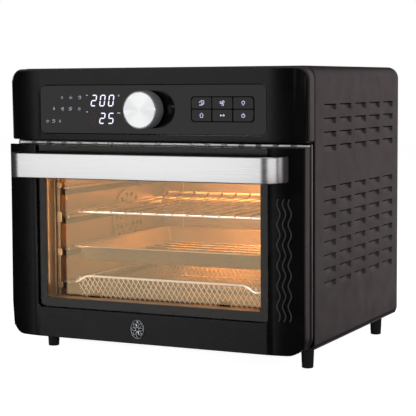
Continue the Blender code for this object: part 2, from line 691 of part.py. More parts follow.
clear_scene()
build_case()
build_cavity()
build_controls()
build_door()
build_racks()
bpy.context.view_layer.update()
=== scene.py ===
"""Looks for the countertop toaster oven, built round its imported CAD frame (metres, +Z up, front at -Y)."""
from math import cos, hypot, pi, radians, sin

import bmesh
import bpy
from mathutils import Matrix, Vector


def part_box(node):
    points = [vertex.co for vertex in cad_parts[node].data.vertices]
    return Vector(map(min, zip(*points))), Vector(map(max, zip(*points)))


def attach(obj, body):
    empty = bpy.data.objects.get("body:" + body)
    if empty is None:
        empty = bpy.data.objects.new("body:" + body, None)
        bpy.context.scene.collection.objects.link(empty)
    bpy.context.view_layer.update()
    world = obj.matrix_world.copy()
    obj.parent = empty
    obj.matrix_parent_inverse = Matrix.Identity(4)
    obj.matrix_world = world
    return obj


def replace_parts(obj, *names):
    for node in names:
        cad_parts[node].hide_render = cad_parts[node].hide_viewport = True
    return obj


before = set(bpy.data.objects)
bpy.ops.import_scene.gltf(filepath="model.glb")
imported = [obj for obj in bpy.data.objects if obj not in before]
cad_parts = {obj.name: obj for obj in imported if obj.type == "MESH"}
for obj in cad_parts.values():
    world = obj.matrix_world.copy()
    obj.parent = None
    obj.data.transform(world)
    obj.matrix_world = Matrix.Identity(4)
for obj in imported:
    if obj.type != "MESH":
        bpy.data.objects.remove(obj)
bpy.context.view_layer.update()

# ---- driving dimensions
BODY = "oven_body"
CASE_LO, CASE_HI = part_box("outer_wrap")
DOOR_LO, DOOR_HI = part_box("door_frame")
FRONT = DOOR_LO.y  # plane of the door's front face
SILL = DOOR_LO.z  # height of the door's bottom edge
DOOR_HALF = DOOR_HI.x
DOOR_TOP = DOOR_HI.z - SILL
DOOR_BACK = DOOR_HI.y - FRONT

EDGE_SWEEP = 0.0089  # how far the side edges of door and fascia curve back
SWEEP_W = 0.05
SWEEP_CUTS = 14
CORNER_R = 0.015
UNDER_R = 0.0075  # radius of the casing's lower edge
WINDOW_HALF_W = 0.1463
WINDOW_Z = (0.049, 0.218)
INSET_R = 0.0083  # corner radius of the hole for the display panel
INSET_GAP = 0.001
KEY_MARGIN = 0.0004  # each key is drawn this much smaller all round, so the grooves read dark

LOUVRE_TOP = 0.29  # upper edge of the highest slit
LOUVRE_PITCH_Z = 0.0162
LOUVRE_ROWS = (0, 1, 2, 3, 6, 7, 8, 9, 10, 11, 12, 13)
LOUVRE_H = 0.0082  # slit and pressed recess together
LOUVRE_SLIT = 0.0014
LOUVRE_IN = 0.0031  # how far the recess's lip is pressed in
LOUVRE_COLS = 5
LOUVRE_Y = 0.0804
LOUVRE_PITCH_Y = 0.0528
LOUVRE_L = 0.0395
LOUVRE_RINGS = (0.0, 0.2, 0.4, 0.55, 0.7, 0.85, 0.95, 0.975, 1.0)  # shares of the length with a ring

TAB_HEIGHTS = ((0.185, 0.1912), (0.142, 0.1542), (0.0995, 0.1082), (0.058, 0.0655))
# Tops of the cavity's runner ledges; black strips below them are painted shade.
LEDGE_TOPS = (0.063, 0.1055, 0.1464, 0.183)
WAVE_FOOT, WAVE_TALL, WAVE_LENGTH, WAVE_SWING = 0.04, 0.142, 0.0237, 0.0018
MESH_PITCH = 0.007  # spacing of the basket's parallel wires
MESH_LEAN = 0.6
MESH_R = 0.00035
MESH_FRONT_R = 0.00048
MESH_FRONT_IN = 0.008  # the front mesh's foot stands this far behind the basket's front

WHITE = (1, 1, 1)
WARM = (1.0, 0.34, 0.07)
WARM_PALE = (1.0, 0.62, 0.32)
MOTTLE = (0.3, 0.7)  # part of the noise's range that a ramp spreads out


def at(x, y, z):
    """Point given from the middle of the door's bottom front edge."""
    return Vector((x, FRONT + y, SILL + z))


def spans(node):
    """A CAD node's box as its x, y and z ranges, measured from the same point."""
    low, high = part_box(node)
    return (low.x, high.x), (low.y - FRONT, high.y - FRONT), (low.z - SILL, high.z - SILL)


def middle_of(node):
    low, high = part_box(node)
    return (Vector(low) + Vector(high)) / 2 - Vector((0, FRONT, SILL))


# ---- materials
def nodes_for(name):
    mat = bpy.data.materials.new(name)
    mat.use_nodes = True
    return mat, mat.node_tree, mat.node_tree.nodes["Principled BSDF"]


def dial(node, **values):
    """Sets the node's own sockets; an underscore stands for a space."""
    for name, value in values.items():
        node.inputs[name.replace("_", " ")].default_value = value
    return node


def add_node(tree, kind, **values):
    return dial(tree.nodes.new("ShaderNode" + kind), **values)


def join(source, output, node, socket):
    node.id_data.links.new(source.outputs[output], node.inputs[socket])


def noise(tree, scale, detail=4.0, stretch=(1, 1, 1)):
    mapping = add_node(tree, "Mapping", Scale=stretch)
    texture = add_node(tree, "TexNoise", Scale=scale, Detail=detail, Roughness=0.55)
    join(add_node(tree, "TexCoord"), "Object", mapping, "Vector")
    join(mapping, "Vector", texture, "Vector")
    return texture


def mottled(tree, shader, scale, dark, light, socket="Base Color", stretch=(1, 1, 1)):
    """Gives the socket a colour that wanders between two; returns the noise behind it."""
    grain = noise(tree, scale, stretch=stretch)
    ramp = add_node(tree, "ValToRGB")
    for index, colour in enumerate((dark, light)):
        ramp.color_ramp.elements[index].position = MOTTLE[index]
        ramp.color_ramp.elements[index].color = (*colour, 1.0)
    join(grain, "Fac", ramp, "Fac")
    join(ramp, "Color", shader, socket)
    return grain


def surface(name, dark, light, rough, scale=40.0, stretch=(1, 1, 1), metallic=0.0, bump=0.0,
            bump_scale=900.0, specular=0.5):
    """Procedural finish: mottled colour and roughness, with a finer grain in the normal."""
    mat, tree, shader = nodes_for(name)
    mottle = mottled(tree, shader, scale, dark, light, stretch=stretch)
    low, high = MOTTLE
    remap = add_node(tree, "MapRange", From_Min=low, From_Max=high, To_Min=rough[0], To_Max=rough[1])
    join(mottle, "Fac", remap, "Value")
    join(remap, "Result", shader, "Roughness")
    dial(shader, Metallic=metallic, Specular_IOR_Level=specular)
    if bump > 0.0:
        node = add_node(tree, "Bump", Strength=bump, Distance=0.0002)
        join(noise(tree, bump_scale, 2.0, stretch), "Fac", node, "Height")
        join(node, "Normal", shader, "Normal")
    return mat


def glass(name, tint, haze_colour, haze):
    """Flat coated pane: clear straight through, with a mirror-like skin that shows a faint tinted veil."""
    mat, tree, shader = nodes_for(name)
    mottled(tree, shader, 14.0, [0.9 * channel for channel in haze_colour], haze_colour)
    dial(shader, Metallic=1.0, Roughness=0.08)
    clear = add_node(tree, "BsdfTransparent", Color=(*tint, 1.0))
    facing = add_node(tree, "LayerWeight", Blend=0.5)
    power = add_node(tree, "Math")
    power.operation = "POWER"
    power.inputs[1].default_value = 5.0
    share = add_node(tree, "Math")
    share.operation = "MULTIPLY_ADD"
    share.inputs[1].default_value = 0.9
    share.inputs[2].default_value = haze
    mix = add_node(tree, "MixShader")
    join(facing, "Facing", power, 0)
    join(power, "Value", share, 0)
    join(share, "Value", mix, "Fac")
    join(clear, "BSDF", mix, 1)
    join(shader, "BSDF", mix, 2)
    join(mix, "Shader", tree.nodes["Material Output"], "Surface")
    return mat


def glow(name, colour, strength):
    mat, tree, shader = nodes_for(name)
    mottled(tree, shader, 300.0, [0.85 * channel for channel in colour], colour, "Emission Color")
    dial(shader, Base_Color=(0.02, 0.02, 0.02, 1.0), Emission_Strength=strength)
    return mat


def spun_face():
    """Spun aluminium: fine rings about the knob's axis, which stretch the highlight into fans."""
    mat, tree, shader = nodes_for("spun_aluminium")
    mottled(tree, shader, 25.0, (0.9, 0.91, 0.92), (0.97, 0.98, 0.98))
    dial(shader, Metallic=1.0, Roughness=0.3, Anisotropic=0.85, Anisotropic_Rotation=0.25)
    tangent = add_node(tree, "Tangent")
    tangent.direction_type = "RADIAL"
    tangent.axis = "Z"
    join(tangent, "Tangent", shader, "Tangent")
    return mat


CASING = surface(
    "casing_paint", (0.046, 0.036, 0.038), (0.054, 0.042, 0.045), (0.46, 0.56), bump=0.25, bump_scale=1400.0)
# Lightened copy of the casing paint for the door's sides, the fascia bezel and the stile waves: painted
# light, as these narrow sides look lit.
LIGHTENED_CASING = surface(
    "casing_paint_lightened", (0.085, 0.07, 0.072), (0.1, 0.082, 0.085), (0.4, 0.5), bump=0.2, bump_scale=1400.0)
FASCIA = surface(
    "fascia_satin", (0.0026, 0.0026, 0.0028), (0.0034, 0.0034, 0.0036), (0.25, 0.31),
    bump=0.12, bump_scale=1800.0, specular=0.28)
# Flat black: the real colour of the cores, seam, knob skirt, key surround, badge plate and pane clips, and
# painted shade in the louvre screens and the strips under the ledges.
BLACK = surface(
    "shadow_black", (0.003, 0.003, 0.003), (0.005, 0.005, 0.005), (0.6, 0.7), bump=0.1, specular=0.15)
GLOSS = surface(
    "panel_gloss", (0.004, 0.003, 0.0042), (0.006, 0.0042, 0.0062), (0.05, 0.08), scale=12.0, specular=0.36)
KEY_GLOSS = surface("key_gloss", (0.003, 0.003, 0.004), (0.004, 0.004, 0.005), (0.08, 0.12), specular=0.34)
PRINT = surface(
    "glass_print", (0.01, 0.01, 0.012), (0.013, 0.013, 0.015), (0.1, 0.16), bump=0.02, specular=0.36)
STEEL = surface(
    "brushed_steel", (0.76, 0.76, 0.765), (0.81, 0.81, 0.815), (0.26, 0.34), scale=60.0,
    stretch=(0.12, 0.12, 14.0), metallic=1.0, bump=0.1, bump_scale=500.0)
EDGE_STEEL = surface(
    "edge_steel", (0.55, 0.57, 0.59), (0.66, 0.68, 0.7), (0.22, 0.32), metallic=1.0,
    stretch=(1, 1, 6), bump=0.03)
RIM_STEEL = surface(
    "rim_steel", (0.34, 0.345, 0.35), (0.38, 0.385, 0.39), (0.3, 0.36), scale=6.0, metallic=1.0)
FRAME_STEEL = surface(
    "frame_steel", (0.14, 0.115, 0.09), (0.19, 0.16, 0.13), (0.36, 0.46), metallic=0.5,
    bump=0.1, specular=0.2)
TAB_STEEL = surface(
    "tab_steel", (0.19, 0.16, 0.13), (0.24, 0.21, 0.17), (0.4, 0.5), metallic=0.6, bump=0.05)
SATIN = surface(
    "satin_aluminium", (0.46, 0.5, 0.52), (0.54, 0.58, 0.6), (0.14, 0.2), metallic=0.45,
    stretch=(1, 1, 10), bump=0.05)
# Two copies of one chrome wire: the near-white, mostly diffuse one is painted light for rods, basket rim and
# scallop glints; the dark one is painted shade for the rack's backlit cross wires.
WIRE = surface(
    "wire_chrome_lit", (0.92, 0.92, 0.91), (0.98, 0.98, 0.97), (0.26, 0.34), metallic=0.25, bump=0.05)
SHADED_WIRE = surface(
    "wire_shaded", (0.09, 0.08, 0.07), (0.15, 0.135, 0.12), (0.2, 0.3), metallic=1.0, bump=0.05)
# Two copies of the basket's mesh wire: the bright one is painted light for the front mesh and the pans' rim
# lines; the dark one is painted shade for the back, sides, floor and foot wire.
MESH_WIRE = surface("mesh_wire_lit", (0.86, 0.84, 0.8), (0.95, 0.93, 0.89), (0.3, 0.4), metallic=0.6, bump=0.1)
SHADED_MESH = surface(
    "mesh_shaded", (0.1, 0.09, 0.08), (0.16, 0.14, 0.12), (0.35, 0.45), metallic=0.8, bump=0.1)
CAVITY = surface(
    "cavity_steel", (0.34, 0.29, 0.24), (0.46, 0.4, 0.34), (0.3, 0.42), scale=30.0,
    stretch=(1, 1, 8), metallic=0.75, bump=0.25, bump_scale=700.0)
# Darker copy of the cavity steel for the floor, side walls, heat shield and fan guard: painted shade.
SHADED_STEEL = surface(
    "cavity_steel_shaded", (0.15, 0.13, 0.11), (0.21, 0.18, 0.155), (0.36, 0.48), scale=30.0,
    stretch=(1, 1, 8), metallic=0.7, bump=0.25, bump_scale=700.0)
ENAMEL = surface(
    "tray_enamel", (0.2, 0.18, 0.16), (0.25, 0.225, 0.2), (0.42, 0.54), metallic=0.3,
    bump=0.2, bump_scale=500.0)
# Brighter copy of the tray's metal for the ribs alone: painted highlights along the rib tops.
LIT_RIBS = surface(
    "tray_ribs_lit", (0.62, 0.57, 0.5), (0.76, 0.71, 0.64), (0.16, 0.26), metallic=1.0,
    bump=0.1, bump_scale=500.0)
LINER = surface("door_liner", (0.26, 0.22, 0.17), (0.34, 0.29, 0.23), (0.34, 0.44), metallic=0.6, bump=0.1)
HEATER = surface(
    "heater_sheath", (0.1, 0.09, 0.085), (0.18, 0.16, 0.15), (0.4, 0.55), metallic=0.9, bump=0.3)
RUBBER = surface("rubber", (0.012, 0.012, 0.012), (0.018, 0.018, 0.018), (0.65, 0.8), bump=0.5)
ZINC = surface("zinc_plate", (0.42, 0.42, 0.4), (0.6, 0.6, 0.57), (0.28, 0.42), metallic=1.0, bump=0.2)
BOARD = surface("circuit_board", (0.012, 0.07, 0.035), (0.02, 0.1, 0.05), (0.35, 0.5), bump=0.3)
CLEAR = glass("door_glass", (0.985, 0.98, 0.965), (0.95, 0.95, 0.97), 0.0)
HAZY = glass("inner_glass", (0.99, 0.98, 0.95), (1.0, 0.71, 0.43), 0.155)
DIGITS = glow("display_digits", (0.8, 0.8, 1.0), 1.6)
ICONS = glow("display_icons", (0.66, 0.6, 0.72), 0.85)
KEY_ICONS = glow("key_icons", (0.7, 0.66, 0.98), 1.7)
# Faint emission for the unlit digit: painted light, as it is not lit.
UNLIT_GLOW = glow("unlit_digit_painted_glow", (0.16, 0.03, 0.05), 0.25)
BULB = glow("lamp_bulb", (1.0, 0.62, 0.3), 9.0)
SPUN = spun_face()


# ---- building helpers
def turn_by(degrees, axis):
    return Matrix.Rotation(radians(degrees), 4, axis)


def add_object(name, data):
    obj = bpy.data.objects.new(name, data)
    bpy.context.scene.collection.objects.link(obj)
    return obj


def settle(obj, body, mat):
    obj.data.materials.clear()
    obj.data.materials.append(mat)
    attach(obj, body)
    return obj


def mesh_object(name, bm, smooth):
    """Object from a bmesh, which is used up; edges bent by more than smooth degrees stay sharp."""
    mesh = bpy.data.meshes.new(name)
    bmesh.ops.recalc_face_normals(bm, faces=bm.faces)
    bm.to_mesh(mesh)
    bm.free()
    mesh.shade_smooth()
    mesh.set_sharp_from_angle(angle=radians(smooth))
    return add_object(name, mesh)


def piece(name, bm, body, mat, smooth=35.0):
    return settle(mesh_object(name, bm, smooth), body, mat)


def repaint(mat, *names):
    for name in names:
        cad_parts[name].material_slots[0].material = mat


def soften(*names, width=0.0005):
    """Rounds the edges of CAD nodes that are shown as they are."""
    for name in names:
        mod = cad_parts[name].modifiers.new("Soften", "BEVEL")
        mod.width = width
        mod.segments = 2
        mod.limit_method = "ANGLE"
        mod.angle_limit = radians(40)


def thicken(obj, sheet):
    """Gives an open shell a sheet's thickness, inwards."""
    solid = obj.modifiers.new("Solidify", "SOLIDIFY")
    solid.thickness = sheet
    solid.offset = -1.0


def arc(x, z, r, start=0, end=360, steps=16):
    """Points on a circle about (x, z) from one angle in degrees to another, both included."""
    angles = [radians(start + (end - start) * i / steps) for i in range(steps + 1)]
    return [(x + r * cos(a), z + r * sin(a)) for a in angles]


def rounded(x, z, radii, steps=8):
    """Rounded rectangle as (x, z); radii run bottom-left, bottom-right, top-right, top-left."""
    corners = ((x[0], z[0], 1, 1), (x[1], z[0], -1, 1), (x[1], z[1], -1, -1), (x[0], z[1], 1, -1))
    points = []
    for i, ((cx, cz, sx, sz), r) in enumerate(zip(corners, radii)):
        start = (180 + 90 * i) % 360
        points += arc(cx + sx * r, cz + sz * r, r, start, start + 90, steps) if r > 0 else [(cx, cz)]
    return points


def wide(half):
    return -half, half


def grown(span, margin):
    return span[0] - margin, span[1] + margin


def ellipse(x, z, rx, rz, count=48):
    turn = 2 * pi / count
    return [(x + rx * cos(turn * i), z + rz * sin(turn * i)) for i in range(count)]


def sweep_back(x, half_w):
    t = max(0.0, abs(x) - (half_w - SWEEP_W)) / SWEEP_W
    return EDGE_SWEEP * t * t


def add_spline(curve, points, cyclic):
    spline = curve.splines.new("POLY")
    spline.points.add(len(points) - 1)
    spline.use_cyclic_u = cyclic
    for point, spot in zip(spline.points, points):
        point.co = (*spot, 1.0)


def plate(name, loops, y, body, mat, bevel=0.0, sweep=None, whole=False):
    """Plate facing the front, from loops of (x, z) with holes; sweep curves its face back.

    y holds the front and back depth. With whole set, the back face curves too.
    """
    curve = bpy.data.curves.new(name + "_outline", "CURVE")
    curve.dimensions = "2D"
    curve.fill_mode = "BOTH"
    curve.extrude = (y[1] - y[0]) / 2
    for loop in loops:
        add_spline(curve, [(u, v, 0.0) for u, v in loop], True)
    flat = add_object(name + "_outline", curve)
    bpy.context.view_layer.update()
    mesh = bpy.data.meshes.new_from_object(flat.evaluated_get(bpy.context.evaluated_depsgraph_get()))
    bm = bmesh.new()
    bm.from_mesh(mesh)
    bpy.data.meshes.remove(mesh)
    bpy.data.objects.remove(flat, do_unlink=True)
    bmesh.ops.remove_doubles(bm, verts=bm.verts, dist=0.00001)
    bmesh.ops.dissolve_limit(bm, angle_limit=radians(1), verts=bm.verts, edges=bm.edges)
    middle = (y[0] + y[1]) / 2
    bm.transform(Matrix.Translation(at(0, middle, 0)) @ turn_by(90, "X"))
    middle += FRONT
    if bevel > 0:
        rim = [edge for edge in bm.edges if edge.calc_face_angle(0) > radians(40)
               and all(vert.co.y < middle for vert in edge.verts)]
        bmesh.ops.bevel(bm, geom=rim, offset=bevel, segments=3, affect="EDGES", profile=0.5)
    if sweep:
        for side in (-1, 1):
            for i in range(SWEEP_CUTS):
                cut = Vector((side * (sweep - SWEEP_W * (i + 0.02) / SWEEP_CUTS), 0, 0))
                geom = bm.verts[:] + bm.edges[:] + bm.faces[:]
                bmesh.ops.bisect_plane(bm, geom=geom, plane_co=cut, plane_no=(1, 0, 0))
        for vert in bm.verts:
            if whole or vert.co.y < middle:
                vert.co.y += sweep_back(vert.co.x, sweep)
    return piece(name, bm, body, mat)


def wires(name, paths, radius, body, mat, cyclic=False, sides=3, caps=False):
    """Round wires through lists of points given from the door's corner."""
    curve = bpy.data.curves.new(name, "CURVE")
    curve.dimensions = "3D"
    curve.bevel_depth = radius
    curve.bevel_resolution = sides
    curve.use_fill_caps = caps
    for path in paths:
        add_spline(curve, [at(*spot) for spot in path], cyclic)
    return settle(add_object(name, curve), body, mat)


def tube(name, points, radius, body, mat, cyclic=False, sides=3):
    return wires(name, [points], radius, body, mat, cyclic, sides, caps=True)


def add_rod(bm, a, b, radius, sides=6, caps=True):
    """Straight rod from point a to point b."""
    turn = (b - a).to_track_quat("Z", "Y").to_matrix().to_4x4()
    bmesh.ops.create_cone(bm, cap_ends=caps, segments=sides, radius1=radius, radius2=radius,
                          depth=(b - a).length, matrix=Matrix.Translation((a + b) / 2) @ turn)


def add_block(bm, centre, size, turn=Matrix()):
    matrix = Matrix.Translation(centre) @ turn @ Matrix.Diagonal((*size, 1))
    return bmesh.ops.create_cube(bm, size=1.0, matrix=matrix)


def turned(name, profile, centre, axis, body, mat, steps=64):
    """Turn (radius, height) points about X, Y or Z; the piece's own Z axis is the turning axis."""
    bm = bmesh.new()
    verts = [bm.verts.new((radius, 0.0, height)) for radius, height in profile]
    for a, b in zip(verts, verts[1:]):
        bm.edges.new((a, b))
    bmesh.ops.spin(bm, geom=bm.verts[:] + bm.edges[:], cent=(0, 0, 0), axis=(0, 0, 1),
                   angle=2 * pi, steps=steps, use_merge=True)
    bmesh.ops.remove_doubles(bm, verts=bm.verts, dist=0.000001)
    obj = mesh_object(name, bm, 30.0)
    turn = {"X": turn_by(90, "Y"), "Y": turn_by(-90, "X"), "Z": Matrix()}[axis]
    obj.matrix_world = Matrix.Translation(at(*centre)) @ turn
    bpy.context.view_layer.update()
    return settle(obj, body, mat)


def add_skin(bm, rings):
    """Quads between neighbouring closed rings of vertices."""
    for a, b in zip(rings, rings[1:]):
        for i in range(len(a)):
            j = (i + 1) % len(a)
            bm.faces.new((a[i], a[j], b[j], b[i]))


# ---- casing
def pressed_in(y, z):
    """How far a louvre is pressed into the sheet at this depth and height."""
    col = min(max(round((y - LOUVRE_Y) / LOUVRE_PITCH_Y), 0), LOUVRE_COLS - 1)
    along = (y - LOUVRE_Y - LOUVRE_PITCH_Y * col) / LOUVRE_L + 0.5
    if not 0.0 < along < 1.0:
        return 0.0
    for row in LOUVRE_ROWS:
        lip = LOUVRE_TOP - LOUVRE_PITCH_Z * row - LOUVRE_SLIT
        foot = lip + LOUVRE_SLIT - LOUVRE_H
        if foot - 1e-6 <= z <= lip + 1e-6:
            rise = sin((z - foot) / (lip - foot) * pi / 2)
            return LOUVRE_IN * rise * min(1.0, (along / 0.85) ** 1.5, (1.0 - along) / 0.05)
    return 0.0


def wrap_path():
    """Section of the wrap from its right foot to its left foot, as (point, outward normal)."""
    half = CASE_HI.x
    low, top = CASE_LO.z - SILL, CASE_HI.z - SILL
    heights = [low + UNDER_R, top - CORNER_R]
    for row in LOUVRE_ROWS:
        upper = LOUVRE_TOP - LOUVRE_PITCH_Z * row
        foot, lip = upper - LOUVRE_H, upper - LOUVRE_SLIT
        heights += [foot + (lip - foot) * share for share in (0.0, 0.25, 0.5, 0.75, 1.0)] + [upper]
    right = [((half - UNDER_R + UNDER_R * nx, low + UNDER_R + UNDER_R * nz), (nx, nz))
             for nx, nz in arc(0, 0, 1, -90, -15, 5)]
    right += [((half, z), (1.0, 0.0)) for z in sorted(heights)]
    right += [((half - CORNER_R + CORNER_R * nx, top - CORNER_R + CORNER_R * nz), (nx, nz))
              for nx, nz in arc(0, 0, 1, 0, 90, 12)[1:]]
    left = [((-x, z), (-nx, nz)) for (x, z), (nx, nz) in reversed(right)]
    return right + left


def build_wrap():
    """Casing sheet with rolled ends; the louvres' slits are left open and their recesses pressed in."""
    front, rear = CASE_LO.y - FRONT, CASE_HI.y - FRONT
    lip = 0.0014
    roll = [(0.0, lip), (0.0002, 0.0006), (0.0006, 0.0002), (lip, 0.0)]
    rings = [(front + step, inset) for step, inset in roll]
    first, per = len(rings), len(LOUVRE_RINGS)
    for col in range(LOUVRE_COLS):
        start = LOUVRE_Y + LOUVRE_PITCH_Y * col - LOUVRE_L / 2
        rings += [(start + LOUVRE_L * share, 0.0) for share in LOUVRE_RINGS]
    last = len(rings)
    rings += [(rear - step, inset) for step, inset in reversed(roll)]
    slits = [LOUVRE_TOP - LOUVRE_PITCH_Z * row - LOUVRE_SLIT / 2 for row in LOUVRE_ROWS]
    path = wrap_path()
    bm = bmesh.new()
    grid = []
    for (x, z), (nx, nz) in path:
        line = []
        for y, inset in rings:
            inward = inset + (pressed_in(y, z) if nz == 0.0 else 0.0)
            line.append(bm.verts.new(at(x - nx * inward, y, z - nz * inset)))
        grid.append(line)
    for i in range(len(path) - 1):
        (_, z0), (_, nz) = path[i]
        z1 = path[i + 1][0][1]
        open_row = nz == 0.0 and any(abs((z0 + z1) / 2 - slit) < 0.0003 for slit in slits)
        for j in range(len(rings) - 1):
            in_column = first <= j < last and (j - first) % per != per - 1
            if not (open_row and in_column):
                bm.faces.new((grid[i][j], grid[i + 1][j], grid[i + 1][j + 1], grid[i][j + 1]))
    wrap = piece("casing_wrap", bm, BODY, CASING, smooth=50.0)
    thicken(wrap, 0.0008)
    wrap.modifiers.new("WeightedNormal", "WEIGHTED_NORMAL").keep_sharp = True
    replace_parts(wrap, "outer_wrap")
    # Black sheets just inside the sides fill the view through the slits: painted shade for the dark inside.
    bm = bmesh.new()
    for side in (-1, 1):
        centre = at(side * 0.1965, (front + rear) / 2 + 0.01, 0.168)
        add_block(bm, centre, (0.0008, rear - front - 0.03, 0.286))
    piece("louvre_shade_screens", bm, BODY, BLACK)


def build_frame():
    """Front frame: dark plate round the cavity mouth, with a bright folded edge and bright flat ellipses as
    painted highlights of the vent scallops.
    """
    (_, half), y, z = spans("front_frame")
    floor_x, _, floor_z = spans("cavity_floor")
    mouth_half = floor_x[1] + 0.0003
    mouth_z = (floor_z[1], spans("cavity_ceiling")[2][0])
    mouth = rounded(wide(mouth_half), mouth_z, (0, 0, 0, 0))
    outline = rounded(wide(half - 0.0015), grown(z, -0.0015),
                      (0.015, 0.015, 0.001, 0.001))
    body = plate("frame_plate", [outline, mouth], y, BODY, FRAME_STEEL, bevel=0.0004)
    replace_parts(body, "front_frame")
    rim = rounded(wide(half), z, (0.016, 0.016, 0.002, 0.002))
    plate("frame_edge", [rim, outline], (y[0] - 0.0004, y[1]), BODY, RIM_STEEL, bevel=0.0003)
    strip = rounded(wide(half - 0.0025), (DOOR_TOP + 0.0004, z[1] - 0.0016), (0, 0, 0, 0))
    plate("frame_top_strip", [strip], (y[0] - 0.0004, y[0] - 0.0001), BODY, EDGE_STEEL)
    for side, name in ((-1, "left"), (1, "right")):
        for index, heights in enumerate(TAB_HEIGHTS):
            tab = rounded(sorted((side * 0.1378, side * 0.1472)), heights, (0.0015,) * 4)
            plate(f"runner_tab_{name}_{index + 1}", [tab], (y[0] - 0.0009, y[0] - 0.0001), BODY, TAB_STEEL,
                  bevel=0.0002)
    # Flat bright ellipses in the lit wire copy: painted highlights on the vent scallops' edges.
    for i in range(17):
        scallop = ellipse(0.0222 * (i - 8), z[1] - 0.0026, 0.0042, 0.0012, 20)
        plate(f"frame_scallop_{i + 1}", [scallop], (y[0] - 0.0007, y[0] - 0.0001), BODY, WIRE,
              bevel=0.0002)


def build_rear():
    repaint(CASING, "rear_panel", "base_plate")
    soften("rear_panel", "base_plate")
    for place in ("low_left", "low_right", "top_left", "top_right"):
        node = "rear_screw_" + place
        x, y, z = spans(node)
        radius, depth = (x[1] - x[0]) / 2, y[1] - y[0]
        middle = x[0] + radius, (z[0] + z[1]) / 2
        bm = bmesh.new()
        head = Matrix.Translation(at(middle[0], y[0] + depth * 0.45, middle[1])) @ turn_by(-90, "X")
        bmesh.ops.create_cone(bm, cap_ends=True, segments=32, radius1=radius, radius2=radius * 0.72,
                              depth=depth * 0.9, matrix=head)
        for tilt in (0, 90):
            add_block(bm, at(middle[0], y[0] + depth * 0.88, middle[1]),
                      (radius * 1.1, depth * 0.25, radius * 0.24), turn_by(tilt, "Y"))
        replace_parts(piece(node + "_head", bm, BODY, ZINC), node)
    x, y, _ = spans("cord_gland")
    centre = middle_of("cord_gland")
    out = y[1] - centre[1]
    radius = (x[1] - x[0]) / 2
    profile = [(0.0035, out - 0.003), (0.0035, out), (0.006, out), (0.0072, out - 0.0006),
               (0.0075, out - 0.003), (radius - 0.0008, out - 0.0032), (radius, out - 0.0038),
               (radius, out - 0.005), (0.007, out - 0.0052)]
    gland = turned("cord_gland_boot", profile, centre, "Y", BODY, RUBBER, steps=40)
    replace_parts(gland, "cord_gland")


def build_feet():
    for place in ("front_left", "front_right", "rear_left", "rear_right"):
        node = "foot_" + place
        x, y, z = spans(node)
        radius, tall = (x[1] - x[0]) / 2, z[1] - z[0]
        profile = [(0.0, 0.0), (0.0058, 0.0), (0.0066, 0.0003), (0.007, 0.001), (0.0071, 0.004),
                   (0.0068, 0.0046), (0.0072, 0.0052), (radius - 0.0002, tall - 0.003),
                   (radius, tall - 0.0008), (radius - 0.0006, tall), (0.0, tall)]
        centre = ((x[0] + x[1]) / 2, (y[0] + y[1]) / 2, z[0])
        foot = turned(f"{node}_boot", profile, centre, "Z", BODY, RUBBER, steps=48)
        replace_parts(foot, node)


# ---- control panel
def build_fascia():
    (_, half), (front, back), z = spans("control_fascia")
    inset_x, _, inset_z = (grown(span, INSET_GAP) for span in spans("display_panel"))
    inset = rounded(inset_x, inset_z, (INSET_R,) * 4)
    face = rounded(wide(half), z, (0.003, 0.003, 0.014, 0.014))
    shell = plate("fascia_face", [face, inset], (front, front + 0.003), BODY, FASCIA,
                  bevel=0.0008, sweep=half, whole=True)
    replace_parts(shell, "control_fascia")
    core = rounded(wide(half - 0.0012), (z[0] + 0.001, z[1] - 0.0012),
                   (0.003, 0.003, 0.013, 0.013))
    plate("fascia_core", [core, inset], (front + 0.003, front + 0.0125), BODY, BLACK,
          sweep=half - 0.0012)
    bezel = rounded(wide(half + 0.0028), (z[0], z[1] + 0.0024), (0.003, 0.003, 0.0148, 0.0148))
    room = rounded(wide(half - 0.008), (z[0] + 0.004, z[1] - 0.008), (0.002, 0.002, 0.008, 0.008))
    # The bezel band is in the lightened casing paint: painted light.
    plate("fascia_bezel", [bezel, room], (front + 0.0118, back - 0.0002), BODY, LIGHTENED_CASING,
          bevel=0.0006)
    case_half, case_top = CASE_HI.x - 0.001, CASE_HI.z - SILL - 0.001
    seam = rounded(wide(case_half), (z[0], case_top), (0.001, 0.001, CORNER_R - 0.001, CORNER_R - 0.001))
    plate("fascia_seam", [seam, room], (back + 0.0004, back + 0.0016), BODY, BLACK)
    # Bright steel line along the inset's lower edge and lower-right corner only: a painted highlight where
    # the edge catches the light.
    lip = [(0.01 + 0.01 * i, inset_z[0]) for i in range(10)]
    lip += arc(inset_x[1] - INSET_R, inset_z[0] + INSET_R, INSET_R, -90, 0, 9)
    tube("inset_lip_highlight", [(x, front + 0.0002, height) for x, height in lip], 0.00022, BODY, EDGE_STEEL,
         sides=1)
    repaint(GLOSS, "display_panel")
    soften("display_panel", width=0.0003)


SEGMENTS = {"0": "abcdef", "2": "abged", "5": "afgcd", "8": "abcdefg"}
BARS = {
    "a": ((0, 1), (1, 1)), "b": ((1, 1), (1, 0.5)), "c": ((1, 0.5), (1, 0)), "d": ((0, 0), (1, 0)),
    "e": ((0, 0.5), (0, 0)), "f": ((0, 1), (0, 0.5)), "g": ((0, 0.5), (1, 0.5)),
}
DIGIT_W, DIGIT_LEAN, DIGIT_STROKE = 0.0078, 0.16, 0.115


